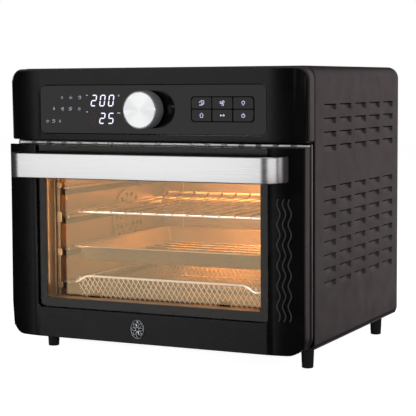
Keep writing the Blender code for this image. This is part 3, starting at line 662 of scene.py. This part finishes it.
def add_digit(bm, digit, x, z, height, depth):
    """One seven-segment digit as bevelled bars, leaning to the right."""
    t = height * DIGIT_STROKE / 2
    gap = t * 0.35
    room = Vector((DIGIT_W - 2 * t, height - 2 * t))
    for name in SEGMENTS[digit]:
        a, b = (Vector((u * room.x + t, v * room.y + t)) for u, v in BARS[name])
        along = (b - a).normalized()
        across = Vector((-along.y, along.x))
        a = a + along * gap
        b = b - along * gap
        outline = [a, a + (along + across) * t * 0.8, b + (across - along) * t * 0.8, b,
                   b - (across + along) * t * 0.8, a + (along - across) * t * 0.8]
        face = bm.faces.new([bm.verts.new(at(x + p.x + DIGIT_LEAN * p.y, depth, z + p.y)) for p in outline])
        side = bmesh.ops.extrude_face_region(bm, geom=[face])["geom"]
        for vert in (item for item in side if isinstance(item, bmesh.types.BMVert)):
            vert.co.y += 0.00015


def build_display():
    """The set temperature over the time, with the time's first digit unlit; that digit gets a faint glow,
    painted light that lets its segments show.
    """
    depth = spans("display_panel")[1][0] - 0.00018
    bm = bmesh.new()
    for i, digit in enumerate("200"):
        add_digit(bm, digit, -0.0812 + 0.0121 * i, 0.2876, 0.0144, depth)
    for i, digit in enumerate("25"):
        add_digit(bm, digit, -0.0695 + 0.012 * i, 0.2664, 0.0138, depth)
    piece("display_lit_digits", bm, BODY, DIGITS)
    bm = bmesh.new()
    add_digit(bm, "8", -0.0815, 0.2664, 0.0138, depth)
    piece("display_unlit_digit", bm, BODY, UNLIT_GLOW)


GLYPHS = {
    "toast": [rounded((-1.0, 0.3), (-0.9, 0.5), (0.2, 0.2, 0.5, 0.5), 3),
              rounded((-0.3, 1.0), (-0.5, 0.9), (0.2,) * 4, 3)],
    "fan": [arc(0, 0, 0.22), arc(0.42, 0.42, 0.42, -60, 220), arc(-0.57, 0.15, 0.42, 60, 340),
            arc(0.15, -0.57, 0.42, 180, 460)],
    "lamp": [arc(0, 0.15, 0.6, -50, 230), [(-0.3, -0.45), (0.3, -0.45)], [(-0.2, -0.85), (0.2, -0.85)]],
    "house": [[(-0.9, 0.1), (0, 0.9), (0.9, 0.1)], [(-0.55, 0.2), (-0.55, -0.8), (0.55, -0.8), (0.55, 0.2)]],
    "arrows": [[(-0.9, 0), (0.9, 0)], *([(s * 0.5, 0.45), (s * 0.95, 0), (s * 0.5, -0.45)] for s in (-1, 1))],
    "power": [arc(0, -0.05, 0.7, 120, 420), [(0, 0.95), (0, 0.1)]],
    "heat": [[(x - 0.6, -0.8), (x - 0.3, -0.3), (x - 0.7, 0.2), (x - 0.4, 0.8)] for x in (0, 0.8)],
    "bowl": [arc(0, 0.2, 0.9, 180, 360), [(-0.9, 0.2), (0.9, 0.2)], [(0, 0.5), (0.3, 0.9)]],
    "leaf": [arc(-0.2, 0, 0.85, -50, 80), arc(0.9, 0.3, 0.9, 130, 235), [(-0.1, -0.8), (0.5, 0.5)]],
    "cube": [[(-0.8, -0.8), (0.4, -0.8), (0.4, 0.4), (-0.8, 0.4)],
             [(-0.8, 0.4), (-0.3, 0.9), (0.9, 0.9), (0.4, 0.4)], [(0.9, 0.9), (0.9, -0.3), (0.4, -0.8)]],
}


def icons(name, marks, depth, size, stroke, body, mat):
    """Line icons: each mark is (glyph, x, z). They lie flat on the panel at that depth."""
    paths = [[(x + u * size, depth, z + v * size) for u, v in line]
             for glyph, x, z in marks for line in GLYPHS[glyph]]
    wires(name, paths, stroke, body, mat, sides=1)


def build_icons():
    depth = spans("display_panel")[1][0]
    rows = (
        (0.2985, (-0.1215, -0.109, -0.0965), ("heat", "bowl", "cube")),
        (0.2848, (-0.134, -0.121, -0.11, -0.097), ("leaf", "fan", "toast", "power")),
        (0.2695, (-0.143, -0.1345, -0.125), ("bowl", "cube", "heat")),
    )
    marks = [(glyph, x, z) for z, xs, glyphs in rows for x, glyph in zip(xs, glyphs)]
    icons("display_icons", marks, depth, 0.0021, 0.00022, BODY, ICONS)
    icons("display_degree_mark", [("power", -0.0415, 0.301)], depth, 0.0012, 0.00025, BODY, ICONS)
    bm = bmesh.new()
    for x, z, wide in ((-0.086, 0.3012, 0.002), (-0.086, 0.281, 0.002), (-0.0415, 0.2798, 0.0042)):
        add_block(bm, at(x, depth, z), (wide, 0.0003, 0.001))
    piece("display_ticks", bm, BODY, ICONS)


def build_keys():
    """Six keys in a dark surround; the block's outer corners are rounder than the rest."""
    glyphs = {"upper_1": "toast", "upper_2": "fan", "upper_3": "lamp",
              "lower_1": "house", "lower_2": "arrows", "lower_3": "power"}
    outer_corner = {"lower_1": 0, "lower_3": 1, "upper_3": 2, "upper_1": 3}
    holes = []
    for place, glyph in glyphs.items():
        node = "key_" + place
        x, y, z = spans(node)
        radii = [0.0008] * 4
        if place in outer_corner:
            radii[outer_corner[place]] = 0.0038
        holes.append(rounded(grown(x, 0.0001), grown(z, 0.0001), radii))
        loop = rounded(grown(x, -KEY_MARGIN), grown(z, -KEY_MARGIN), radii)
        key = plate(node + "_cap", [loop], y, node, KEY_GLOSS, bevel=0.0004)
        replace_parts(key, node)
        middle = middle_of(node)
        icons(node + "_icon", [(glyph, middle[0], middle[2])], y[0], 0.003, 0.00024, node, KEY_ICONS)
    first, last = spans("key_lower_1"), spans("key_upper_3")
    field = rounded(grown((first[0][0], last[0][1]), 0.0009), grown((first[2][0], last[2][1]), 0.0009),
                    (0.0044,) * 4)
    depth = spans("display_panel")[1][0]
    plate("key_surround", [field, *holes], (depth - 0.0001, depth - 0.00002), BODY, BLACK)


def build_knob():
    x, y, z = spans("knob_cap")
    radius, tall = (x[1] - x[0]) / 2, y[1] - y[0]
    centre = (0.0, y[0], (z[0] + z[1]) / 2)
    rim = [(0.0024, 0.00026), (0.0021, 0.00024), (0.0018, 0.0)]
    face = [(0.0, 0.0003), (0.004, 0.00028)] + [(radius - inset, height) for inset, height in rim]
    turned("knob_face", face, centre, "Y", "knob", SPUN, steps=128)
    side = [(0.0018, 0.0), (0.001, 0.0001), (0.0003, 0.0006), (0.0, 0.0014), (0.0, tall - 0.0024),
            (0.0003, tall - 0.0018), (0.0016, tall - 0.0014), (0.0016, tall), (0.004, tall)]
    edge = [(radius - inset, height) for inset, height in side]
    barrel = turned("knob_barrel", edge, centre, "Y", "knob", SATIN, steps=128)
    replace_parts(barrel, "knob_cap")
    repaint(BLACK, "knob_skirt")
    repaint(ZINC, "knob_shaft")


# ---- door
def build_door():
    half = DOOR_HALF
    glass_x, _, glass_z = spans("door_outer_glass")
    seat_x, seat_z = glass_x[1] + 0.0004, glass_z[0] - 0.0004
    r, s = 0.02, 0.005      # radii of the door's lower corners and of the glass seat's
    loop = [(-seat_x, DOOR_TOP), (-half, DOOR_TOP)] + arc(-half + r, r, r, 180, 270, 10)
    loop += arc(half - r, r, r, 270, 360, 10) + [(half, DOOR_TOP), (seat_x, DOOR_TOP)]
    loop += arc(seat_x - s, seat_z + s, s, 0, -90, 5) + arc(-seat_x + s, seat_z + s, s, -90, -180, 5)
    face = plate("door_face", [loop], (0.0, 0.0058), "door", FASCIA, bevel=0.001, sweep=half,
                 whole=True)
    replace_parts(face, "door_frame")
    window_x = wide(WINDOW_HALF_W)
    window = rounded(window_x, WINDOW_Z, (0.0035,) * 4)
    core = rounded(wide(half - 0.0014), (0.0012, DOOR_TOP - 0.001), (0.019, 0.019, 0.002, 0.002))
    plate("door_core", [core, window], (0.0058, 0.015), "door", BLACK, sweep=half - 0.0014)
    inside = rounded(grown(window_x, -0.0004), grown(WINDOW_Z, -0.0004), (0.0031,) * 4)
    plate("window_lining", [window, inside], (0.0052, DOOR_BACK), "door", FRAME_STEEL)
    skirt = [(-half + 0.0005, DOOR_TOP - 0.0006), (-half + 0.0005, 0.02)]
    skirt += arc(-half + 0.02, 0.02, 0.0195, 189, 225, 4)
    skirt += [(-0.19, 0.0105), (-0.172, 0.0105), (-0.172, 0.0012)]
    skirt += [(-x, z) for x, z in reversed(skirt)]
    # The door's side is in the lightened casing paint: painted light.
    plate("door_side", [skirt, window], (0.014, DOOR_BACK), "door", LIGHTENED_CASING, bevel=0.0005)
    border = rounded(wide(seat_x - 0.001), (seat_z + 0.001, DOOR_TOP - 0.001), (0.004, 0.004, 0, 0))
    plate("door_glass_print", [border, window], (0.0043, 0.0048), "door", PRINT)
    repaint(CLEAR, "door_outer_glass")
    repaint(HAZY, "door_inner_glass")
    repaint(LINER, "door_inner_panel")
    repaint(BLACK, "pane_clip_left", "pane_clip_right", "pane_rail")
    repaint(ZINC, "hinge_pin_left", "hinge_pin_right", "hinge_bracket_left", "hinge_bracket_right")
    soften("door_outer_glass", "door_inner_panel", "pane_clip_left", "pane_clip_right", width=0.0003)


def build_handle():
    """Flat strap with round bends at its ends; its section is a slim rounded bar."""
    (_, half), (front, ends), z = spans("handle_bar")
    bend, thick, edge = 0.021, 0.003, 0.0013
    path = [((-half, ends), (-1.0, 0.0))]
    path += [((-half + bend + bend * nx, front + bend + bend * ny), (nx, ny))
             for nx, ny in arc(0, 0, 1, 180, 270, 14)]
    turned_in = len(path)
    path += [((-half + bend + (2 * half - 2 * bend) * i / 12, front), (0.0, -1.0)) for i in range(1, 12)]
    path += [((-x, y), (-nx, ny)) for (x, y), (nx, ny) in reversed(path[:turned_in])]
    section = []
    for u, v, start in ((edge, z[1] - edge, 180), (thick - edge, z[1] - edge, 90),
                        (thick - edge, z[0] + edge, 0), (edge, z[0] + edge, -90)):
        section += arc(u, v, edge, start, start - 90, 4)
    bm = bmesh.new()
    rings = [[bm.verts.new(at(x - nx * u, y - ny * u, v)) for u, v in section] for (x, y), (nx, ny) in path]
    add_skin(bm, rings)
    bm.faces.new(rings[0])
    bm.faces.new(list(reversed(rings[-1])))
    handle = piece("handle_strap", bm, "door", STEEL, smooth=40)
    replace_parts(handle, "handle_bar")


def build_badge():
    """Generic oval rosette: a double rim and eight petals in raised bright line."""
    x, _, z = middle_of("door_badge")
    (x0, x1), (face, _), (z0, z1) = spans("door_badge")
    rx, rz = (x1 - x0) / 2, (z1 - z0) / 2
    base = plate("badge_plate", [ellipse(x, z, rx, rz)], (face + 0.0004, face + 0.001), "door", BLACK,
                 bevel=0.0002)
    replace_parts(base, "door_badge")
    loops = [ellipse(x, z, rx - 0.0007, rz - 0.0007, 40), ellipse(x, z, rx * 0.22, rz * 0.22, 16)]
    for i in range(8):
        across, up = cos(pi * i / 4), sin(pi * i / 4)
        loops.append([(x + rx * (u * across - v * up), z + rz * (u * up + v * across))
                      for u, v in ellipse(0.52, 0, 0.3, 0.15, 16)])
    paths = [[(u, face + 0.0004, v) for u, v in loop] for loop in loops]
    wires("badge_rosette", paths, 0.00042, "door", EDGE_STEEL, cyclic=True, sides=2)


def build_emboss():
    """Generic raised heat waves down the door's right stile, in the lightened casing paint: a painted
    highlight on their raised edges.
    """
    for index, x0 in enumerate((0.17, 0.1765, 0.183)):
        points = []
        for i in range(121):
            rise = WAVE_TALL * i / 120
            x = x0 + WAVE_SWING * sin(2 * pi * rise / WAVE_LENGTH)
            points.append((x, sweep_back(x, DOOR_HALF) + 0.0002, WAVE_FOOT + rise))
        tube(f"stile_wave_{index + 1}", points, 0.0008, "door", LIGHTENED_CASING)


# ---- cavity and loose pieces
def build_cavity():
    repaint(CAVITY, "cavity_ceiling", "cavity_back", "fan_blade")
    # Floor, walls, heat shield and fan guard take the shaded copy of the cavity steel: painted shade.
    repaint(SHADED_STEEL, "cavity_floor", "cavity_wall_left", "cavity_wall_right", "heat_shield", "fan_guard")
    repaint(ZINC, "fan_motor", "encoder", "lamp_housing")
    repaint(HEATER, "temperature_probe")
    repaint(BOARD, "control_board", "power_board")
    soften("cavity_wall_left", "cavity_wall_right", width=0.0004)
    wall = spans("cavity_back")[1][0]
    bead = rounded(wide(0.1096), (0.036, 0.214), (0.012,) * 4, 6)
    tube("back_bead", [(x, wall - 0.0002, height) for x, height in bead], 0.0011, BODY, CAVITY,
         cyclic=True, sides=2)
    inner = spans("cavity_floor")[0][1]
    # Black strips under each ledge: painted shade cast by the ledges on the walls.
    for side, label in ((-1, "left"), (1, "right")):
        for index, top in enumerate(LEDGE_TOPS):
            bm = bmesh.new()
            add_block(bm, at(side * (inner - 0.0022), 0.16, top - 0.0042), (0.0036, 0.246, 0.0076))
            bmesh.ops.bevel(bm, geom=bm.edges[:], offset=0.001, segments=2, affect="EDGES", profile=0.5)
            piece(f"ledge_shade_{label}_{index + 1}", bm, BODY, BLACK)
    for end in ("upper_front", "upper_rear", "lower_front", "lower_rear"):
        node = f"heater_{end}"
        x, y, _ = spans(node)
        radius, length = (y[1] - y[0]) / 2, x[1] - x[0]
        profile = [(0.0, 0.0), (radius, 0.0), (radius, 0.01), (radius * 0.82, 0.0115)]
        profile += [(radius * (0.8 if i % 2 else 0.84), 0.0115 + (length - 0.023) * i / 40)
                    for i in range(1, 40)]
        profile += [(radius * 0.82, length - 0.0115), (radius, length - 0.01), (radius, length), (0, length)]
        rod = turned(f"{node}_rod", profile, (x[0], *middle_of(node)[1:]), "X", BODY, HEATER,
                     steps=24)
        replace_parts(rod, node)
    x, y, _ = spans("lamp_lens")
    radius = (y[1] - y[0]) / 2
    profile = [(0.0, x[0] - x[1]), (radius * 0.4, -0.0056), (radius * 0.8, -0.004), (radius, -0.0015),
               (radius, 0.0)]
    lens = turned("lamp_dome", profile, (x[1], *middle_of("lamp_lens")[1:]), "X", BODY, BULB,
                  steps=40)
    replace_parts(lens, "lamp_lens")


def build_rack():
    (x0, x1), (y0, y1), (z, _) = spans("wire_rack")
    y0, y1, z = y0 + 0.0021, y1 - 0.0015, z + 0.0021
    # Rods in the lit wire copy and cross wires in the shaded copy: painted highlight and painted shade on one
    # metal.
    bm = bmesh.new()
    add_rod(bm, at(x0, y0, z), at(x1, y0, z), 0.0015, 16)
    add_rod(bm, at(x0, y1, z), at(x1, y1, z), 0.0021, 16)
    add_rod(bm, at(-0.13, y1 - 0.001, z + 0.0082), at(0.13, y1 - 0.001, z + 0.0082), 0.0016, 12)
    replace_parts(piece("rack_rods", bm, "rack", WIRE), "wire_rack")
    top = z + 0.0034
    run = ((y0 - 0.0012, z + 0.0006), (y0 - 0.0004, z + 0.0026), (y0 + 0.0012, top), (y1 - 0.012, top),
           (y1 - 0.007, top + 0.0012), (y1 - 0.0035, top + 0.0042), (y1 - 0.0022, top + 0.0058))
    for i in range(13):
        points = [(0.0216 * (i - 6), y, height) for y, height in run]
        tube(f"rack_wire_{i + 1}", points, 0.0013, "rack", SHADED_WIRE)


def build_pan(name, node, body, corner, flange, slope, ribs=0):
    """Pressed pan with rounded corners, a rolled rim and a ribbed floor, inside its CAD pan's box. Its bright
    rim line and brighter ribs are painted highlights.
    """
    (_, half), y, (low, top) = spans(node)
    sheet = 0.0009

    def outline(inset):
        return rounded(wide(half - inset), grown(y, -inset),
                       (max(corner - inset, 0.003),) * 4, 6)

    bm = bmesh.new()
    levels = ((0.0002, top - 0.0022), (0.0, top - 0.001), (0.0006, top), (flange - 0.001, top),
              (flange, top - 0.0008), (flange + slope * 0.8, low + 0.004), (flange + slope, low + 0.0012),
              (flange + slope + 0.003, low + sheet))
    rings = [[bm.verts.new(at(u, v, height)) for u, v in outline(inset)] for inset, height in levels]
    add_skin(bm, rings)
    bm.faces.new(rings[-1])
    pan = piece(name, bm, body, ENAMEL, smooth=50)
    thicken(pan, 0.0006)
    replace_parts(pan, node)
    # Thin bright line along the rim in the lit mesh wire: a painted highlight on the rolled edge.
    rim = rounded(wide(half - 0.0007), grown(y, -0.0007), (corner,) * 4, 6)
    tube(name + "_rim_highlight", [(u, v, top - 0.0004) for u, v in rim], 0.0007, body, MESH_WIRE,
         cyclic=True)
    if ribs:
        inset = flange + slope + 0.01
        bm = bmesh.new()
        for i in range(ribs):
            v = y[0] + inset + (y[1] - y[0] - 2 * inset) * i / (ribs - 1)
            place = Matrix.Translation(at(0, v, low + sheet + 0.0002)) @ turn_by(90, "Y")
            bmesh.ops.create_cone(bm, cap_ends=True, segments=16, radius1=0.003, radius2=0.003,
                                  depth=2 * (half - inset), matrix=place @ Matrix.Diagonal((0.6, 1, 1, 1)))
        # Ribs in the lit rib copy: painted highlights.
        piece(name + "_ribs", bm, body, LIT_RIBS)


def clip_line(a, b, width, height, foot_inset):
    """Part of the line from a to b inside the panel, or None."""
    low, high = 0.0, 1.0
    slope = foot_inset / height
    for sign, edge in ((1, 0.0), (-1, width)):
        # distance inside the slanted end: sign * (u - edge) - foot_inset * (1 - v / height)
        da = sign * (a.x - edge) - foot_inset + slope * a.y
        db = sign * (b.x - edge) - foot_inset + slope * b.y
        if da < 0 and db < 0:
            return None
        if da < 0:
            low = max(low, da / (da - db))
        elif db < 0:
            high = min(high, da / (da - db))
    return (a.lerp(b, low), a.lerp(b, high)) if high - low >= 0.02 else None


def add_mesh_panel(bm, origin, u_axis, v_axis, width, height, foot_inset=0.0, wire=MESH_R):
    """Diamond wire mesh on a flat panel; the panel narrows by foot_inset at each end at v = 0."""
    u_axis, v_axis = Vector(u_axis).normalized(), Vector(v_axis).normalized()
    travel = height * MESH_LEAN
    count = int((width + travel) / MESH_PITCH) + 2
    for direction in (-1, 1):
        for i in range(-1, count + 1):
            start = MESH_PITCH * i - (travel if direction > 0 else 0.0)
            end = start + direction * travel
            line = clip_line(Vector((start, 0.0)), Vector((end, height)), width, height, foot_inset)
            if line:
                add_rod(bm, *(origin + u_axis * p.x + v_axis * p.y for p in line), wire, caps=False)


def build_basket():
    (_, half), (front, back), (foot, top) = spans("crisping_basket")
    rim = top - 0.0018
    dip, crest = rim - 0.003, rim + 0.0055
    lip, slope = 0.0056, 0.006
    rise_y = front + 0.002
    ends = ((half - 0.003, front + 0.005, rim - 0.002), (half - 0.0016, front + 0.016, rim))
    left = [(-x, y, z) for x, y, z in reversed(ends)]
    left += [(-0.13, rise_y, dip), (-0.1265, rise_y, dip + 0.0008), (-0.115, rise_y, crest - 0.0008),
             (-0.1115, rise_y, crest)]
    right = [(0.1045, rise_y, crest), (0.108, rise_y, crest - 0.0008), (0.1185, rise_y, dip + 0.0008),
             (0.123, rise_y, dip), *ends]
    rear = [(half - 0.0016, back - 0.002, rim), (-half + 0.0016, back - 0.002, rim)]
    # The basket's rim wire is in the lit wire copy: painted highlight.
    rim_wire = tube("basket_rim", left + right + rear, 0.0014, "basket", WIRE, True, 4)
    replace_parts(rim_wire, "crisping_basket")
    top_x, top_y0, low_y0, low_y1 = half - lip, front + lip, front + MESH_FRONT_IN, back - lip - slope
    low_x, top_deep = top_x - slope, back - front - 2 * lip
    floor = foot + 0.0008
    rise = rim - floor
    wall = hypot(slope, rise)
    # The front mesh is in the lit mesh copy: painted light.
    bm = bmesh.new()
    add_mesh_panel(bm, at(-top_x, low_y0, floor), (1, 0, 0), (0, -0.006, crest - floor), 2 * top_x,
                   crest - floor, slope, MESH_FRONT_R)
    piece("basket_front_mesh", bm, "basket", MESH_WIRE)
    # Back, side and floor panels and the foot wire are in the shaded mesh copy: painted shade.
    bm = bmesh.new()
    add_mesh_panel(bm, at(-top_x, low_y1, floor), (1, 0, 0), (0, slope, rise), 2 * top_x, wall, slope)
    add_mesh_panel(bm, at(-low_x, top_y0, floor), (0, 1, 0), (-slope, 0, rise), top_deep, wall, slope)
    add_mesh_panel(bm, at(low_x, top_y0, floor), (0, 1, 0), (slope, 0, rise), top_deep, wall, slope)
    add_mesh_panel(bm, at(-low_x, low_y0, floor), (1, 0, 0), (0, 1, 0), 2 * low_x, low_y1 - low_y0)
    piece("basket_mesh", bm, "basket", SHADED_MESH)
    corners = [(x, y, floor) for x, y in rounded(wide(low_x), (low_y0, low_y1), (0, 0, 0, 0))]
    tube("basket_foot_wire", corners, 0.001, "basket", SHADED_MESH, cyclic=True)


# ---- stage, lights and camera
def build_stage():
    bm = bmesh.new()
    bmesh.ops.create_grid(bm, x_segments=1, y_segments=1, size=6.0)
    mesh = bpy.data.meshes.new("floor")
    bm.to_mesh(mesh)
    bm.free()
    floor = add_object("floor", mesh)
    mat, tree, shader = nodes_for("floor_white")
    mottled(tree, shader, 3.0, (0.88, 0.88, 0.88), (0.9, 0.9, 0.9))
    dial(shader, Roughness=1.0, Specular_IOR_Level=0.0, Emission_Color=(1, 1, 1, 1), Emission_Strength=0.96)
    mesh.materials.append(mat)
    floor.visible_glossy = False
    floor.visible_diffuse = False
    floor.visible_shadow = False

    world = bpy.data.worlds.new("studio")
    bpy.context.scene.world = world
    world.use_nodes = True
    tree = world.node_tree
    back = dial(tree.nodes["Background"], Color=(1, 1, 1, 1), Strength=0.03)
    white = add_node(tree, "Background", Color=(1, 1, 1, 1), Strength=1.0)
    mix = add_node(tree, "MixShader")
    join(add_node(tree, "LightPath"), "Is Camera Ray", mix, "Fac")
    join(back, "Background", mix, 1)
    join(white, "Background", mix, 2)
    join(mix, "Shader", tree.nodes["World Output"], "Surface")


def area_light(name, spot, target, width, height, power, colour=WHITE):
    light = bpy.data.lights.new(name, "AREA")
    light.shape = "RECTANGLE"
    light.size = width
    light.size_y = height
    light.energy = power
    light.color = colour
    obj = add_object(name, light)
    obj.location = spot
    obj.rotation_euler = (Vector(target) - Vector(spot)).to_track_quat("-Z", "Y").to_euler()
    obj.visible_camera = False
    return light


def softbox(name, bearing, rise, distance, width, height, radiance, colour=WHITE):
    """Soft panel round the object: bearing in degrees from +X to +Y, rise of its middle above the floor."""
    a = radians(bearing)
    spot = (distance * cos(a), distance * sin(a), rise)
    area_light(name, spot, (0, 0, 0.18), width, height, radiance * pi * width * height, colour)


def build_studio_lights():
    softbox("softbox_front", 244, 0.35, 2.0, 1.35, 1.9, 1.12)
    softbox("softbox_side", 66, 0.4, 2.2, 1.9, 1.7, 0.7, (1.0, 0.86, 0.88))
    softbox("softbox_right", 18, 0.55, 1.8, 0.9, 1.3, 0.55, (1.0, 0.92, 0.93))
    softbox("softbox_behind", 325, 0.3, 2.4, 2.5, 1.3, 1.0, (1.0, 0.97, 0.97))
    area_light("softbox_top", (0.2, -0.2, 2.2), (0, 0, 0.18), 1.4, 1.4, 7.0)


def build_window_fill():
    """White spot from the viewer's side through the window, which picks out the rods and the mesh."""
    light = bpy.data.lights.new("window_fill", "SPOT")
    light.energy = 42.0
    light.spot_size = radians(10.5)
    light.spot_blend = 0.35
    light.shadow_soft_size = 0.05
    obj = add_object("window_fill", light)
    obj.location = at(0.55, -1.5, 0.42)
    obj.rotation_euler = (at(-0.01, 0.0, 0.125) - obj.location).to_track_quat("-Z", "Y").to_euler()


def build_oven_lights():
    """Warm lights inside the cavity and behind the window's edge, and white slits before rack and basket."""
    roof = spans("cavity_ceiling")[2][0]
    warm_lights = (
        # name, place, target, width, height, power, colour
        ("back_glow", (0.03, 0.235, roof - 0.008), (0.03, 0.31, roof - 0.05), 0.18, 0.02, 0.95, WARM),
        ("cavity_lamp", (0.118, 0.24, roof - 0.035), (-0.14, 0.25, 0.19), 0.03, 0.03, 0.08, WARM),
        ("front_glow", (0.11, 0.07, roof - 0.012), (-0.141, 0.04, 0.12), 0.03, 0.03, 0.1, WARM),
        ("reveal_glow", (-0.131, 0.013, 0.13), (-0.146, 0.015, 0.13), 0.008, 0.15, 0.004, WARM_PALE),
        ("sill_glow", (0, 0.013, 0.062), (0, 0.015, 0.049), 0.26, 0.008, 0.03, WARM_PALE),
        ("edge_glow", (-0.1465, 0.0085, 0.135), (-0.14, 0.03, 0.135), 0.006, 0.14, 0.075, WARM_PALE),
        ("tray_glow", (-0.02, 0.285, 0.15), (-0.02, 0.15, 0.085), 0.24, 0.01, 0.13, WARM),
        ("basket_glow", (-0.03, 0.28, 0.08), (-0.03, 0.31, 0.045), 0.12, 0.012, 0.34, WARM),
    )
    for name, spot, target, *rest in warm_lights:
        area_light(name, at(*spot), at(*target), *rest)
    for name, node, height, power in (("rod_fill", "wire_rack", 0.016, 0.016),
                                      ("rim_fill", "crisping_basket", 0.034, 0.011)):
        _, (front, _), (foot, _) = spans(node)
        spot = at(0, front - 0.008, foot + height)
        light = area_light(name, spot, at(0, front + 0.002, foot + height - 0.012), 0.25, 0.004, power)
        light.spread = radians(80)


def build_camera():
    data = bpy.data.cameras.new("camera")
    data.lens = 120.87
    data.sensor_width = 36.0
    data.clip_start = 0.05
    camera = add_object("camera", data)
    yaw, pitch, roll = 25.966, 5.108, -0.361
    turn = turn_by(yaw, "Z") @ turn_by(90 - pitch, "X") @ turn_by(roll, "Z")
    camera.matrix_world = Matrix.Translation(at(0.796, -1.4682, 0.3151)) @ turn
    bpy.context.scene.camera = camera
    bpy.context.scene.view_settings.view_transform = "Standard"


build_wrap()
build_frame()
build_rear()
build_feet()
build_fascia()
build_display()
build_icons()
build_keys()
build_knob()
build_door()
build_handle()
build_badge()
build_emboss()
build_cavity()
build_rack()
build_pan("tray_pan", "baking_tray", "tray", 0.012, 0.0058, 0.009, ribs=9)
build_pan("crumb_pan", "crumb_tray", "crumbs", 0.008, 0.002, 0.002)
build_basket()
build_stage()
build_studio_lights()
build_window_fill()
build_oven_lights()
build_camera()
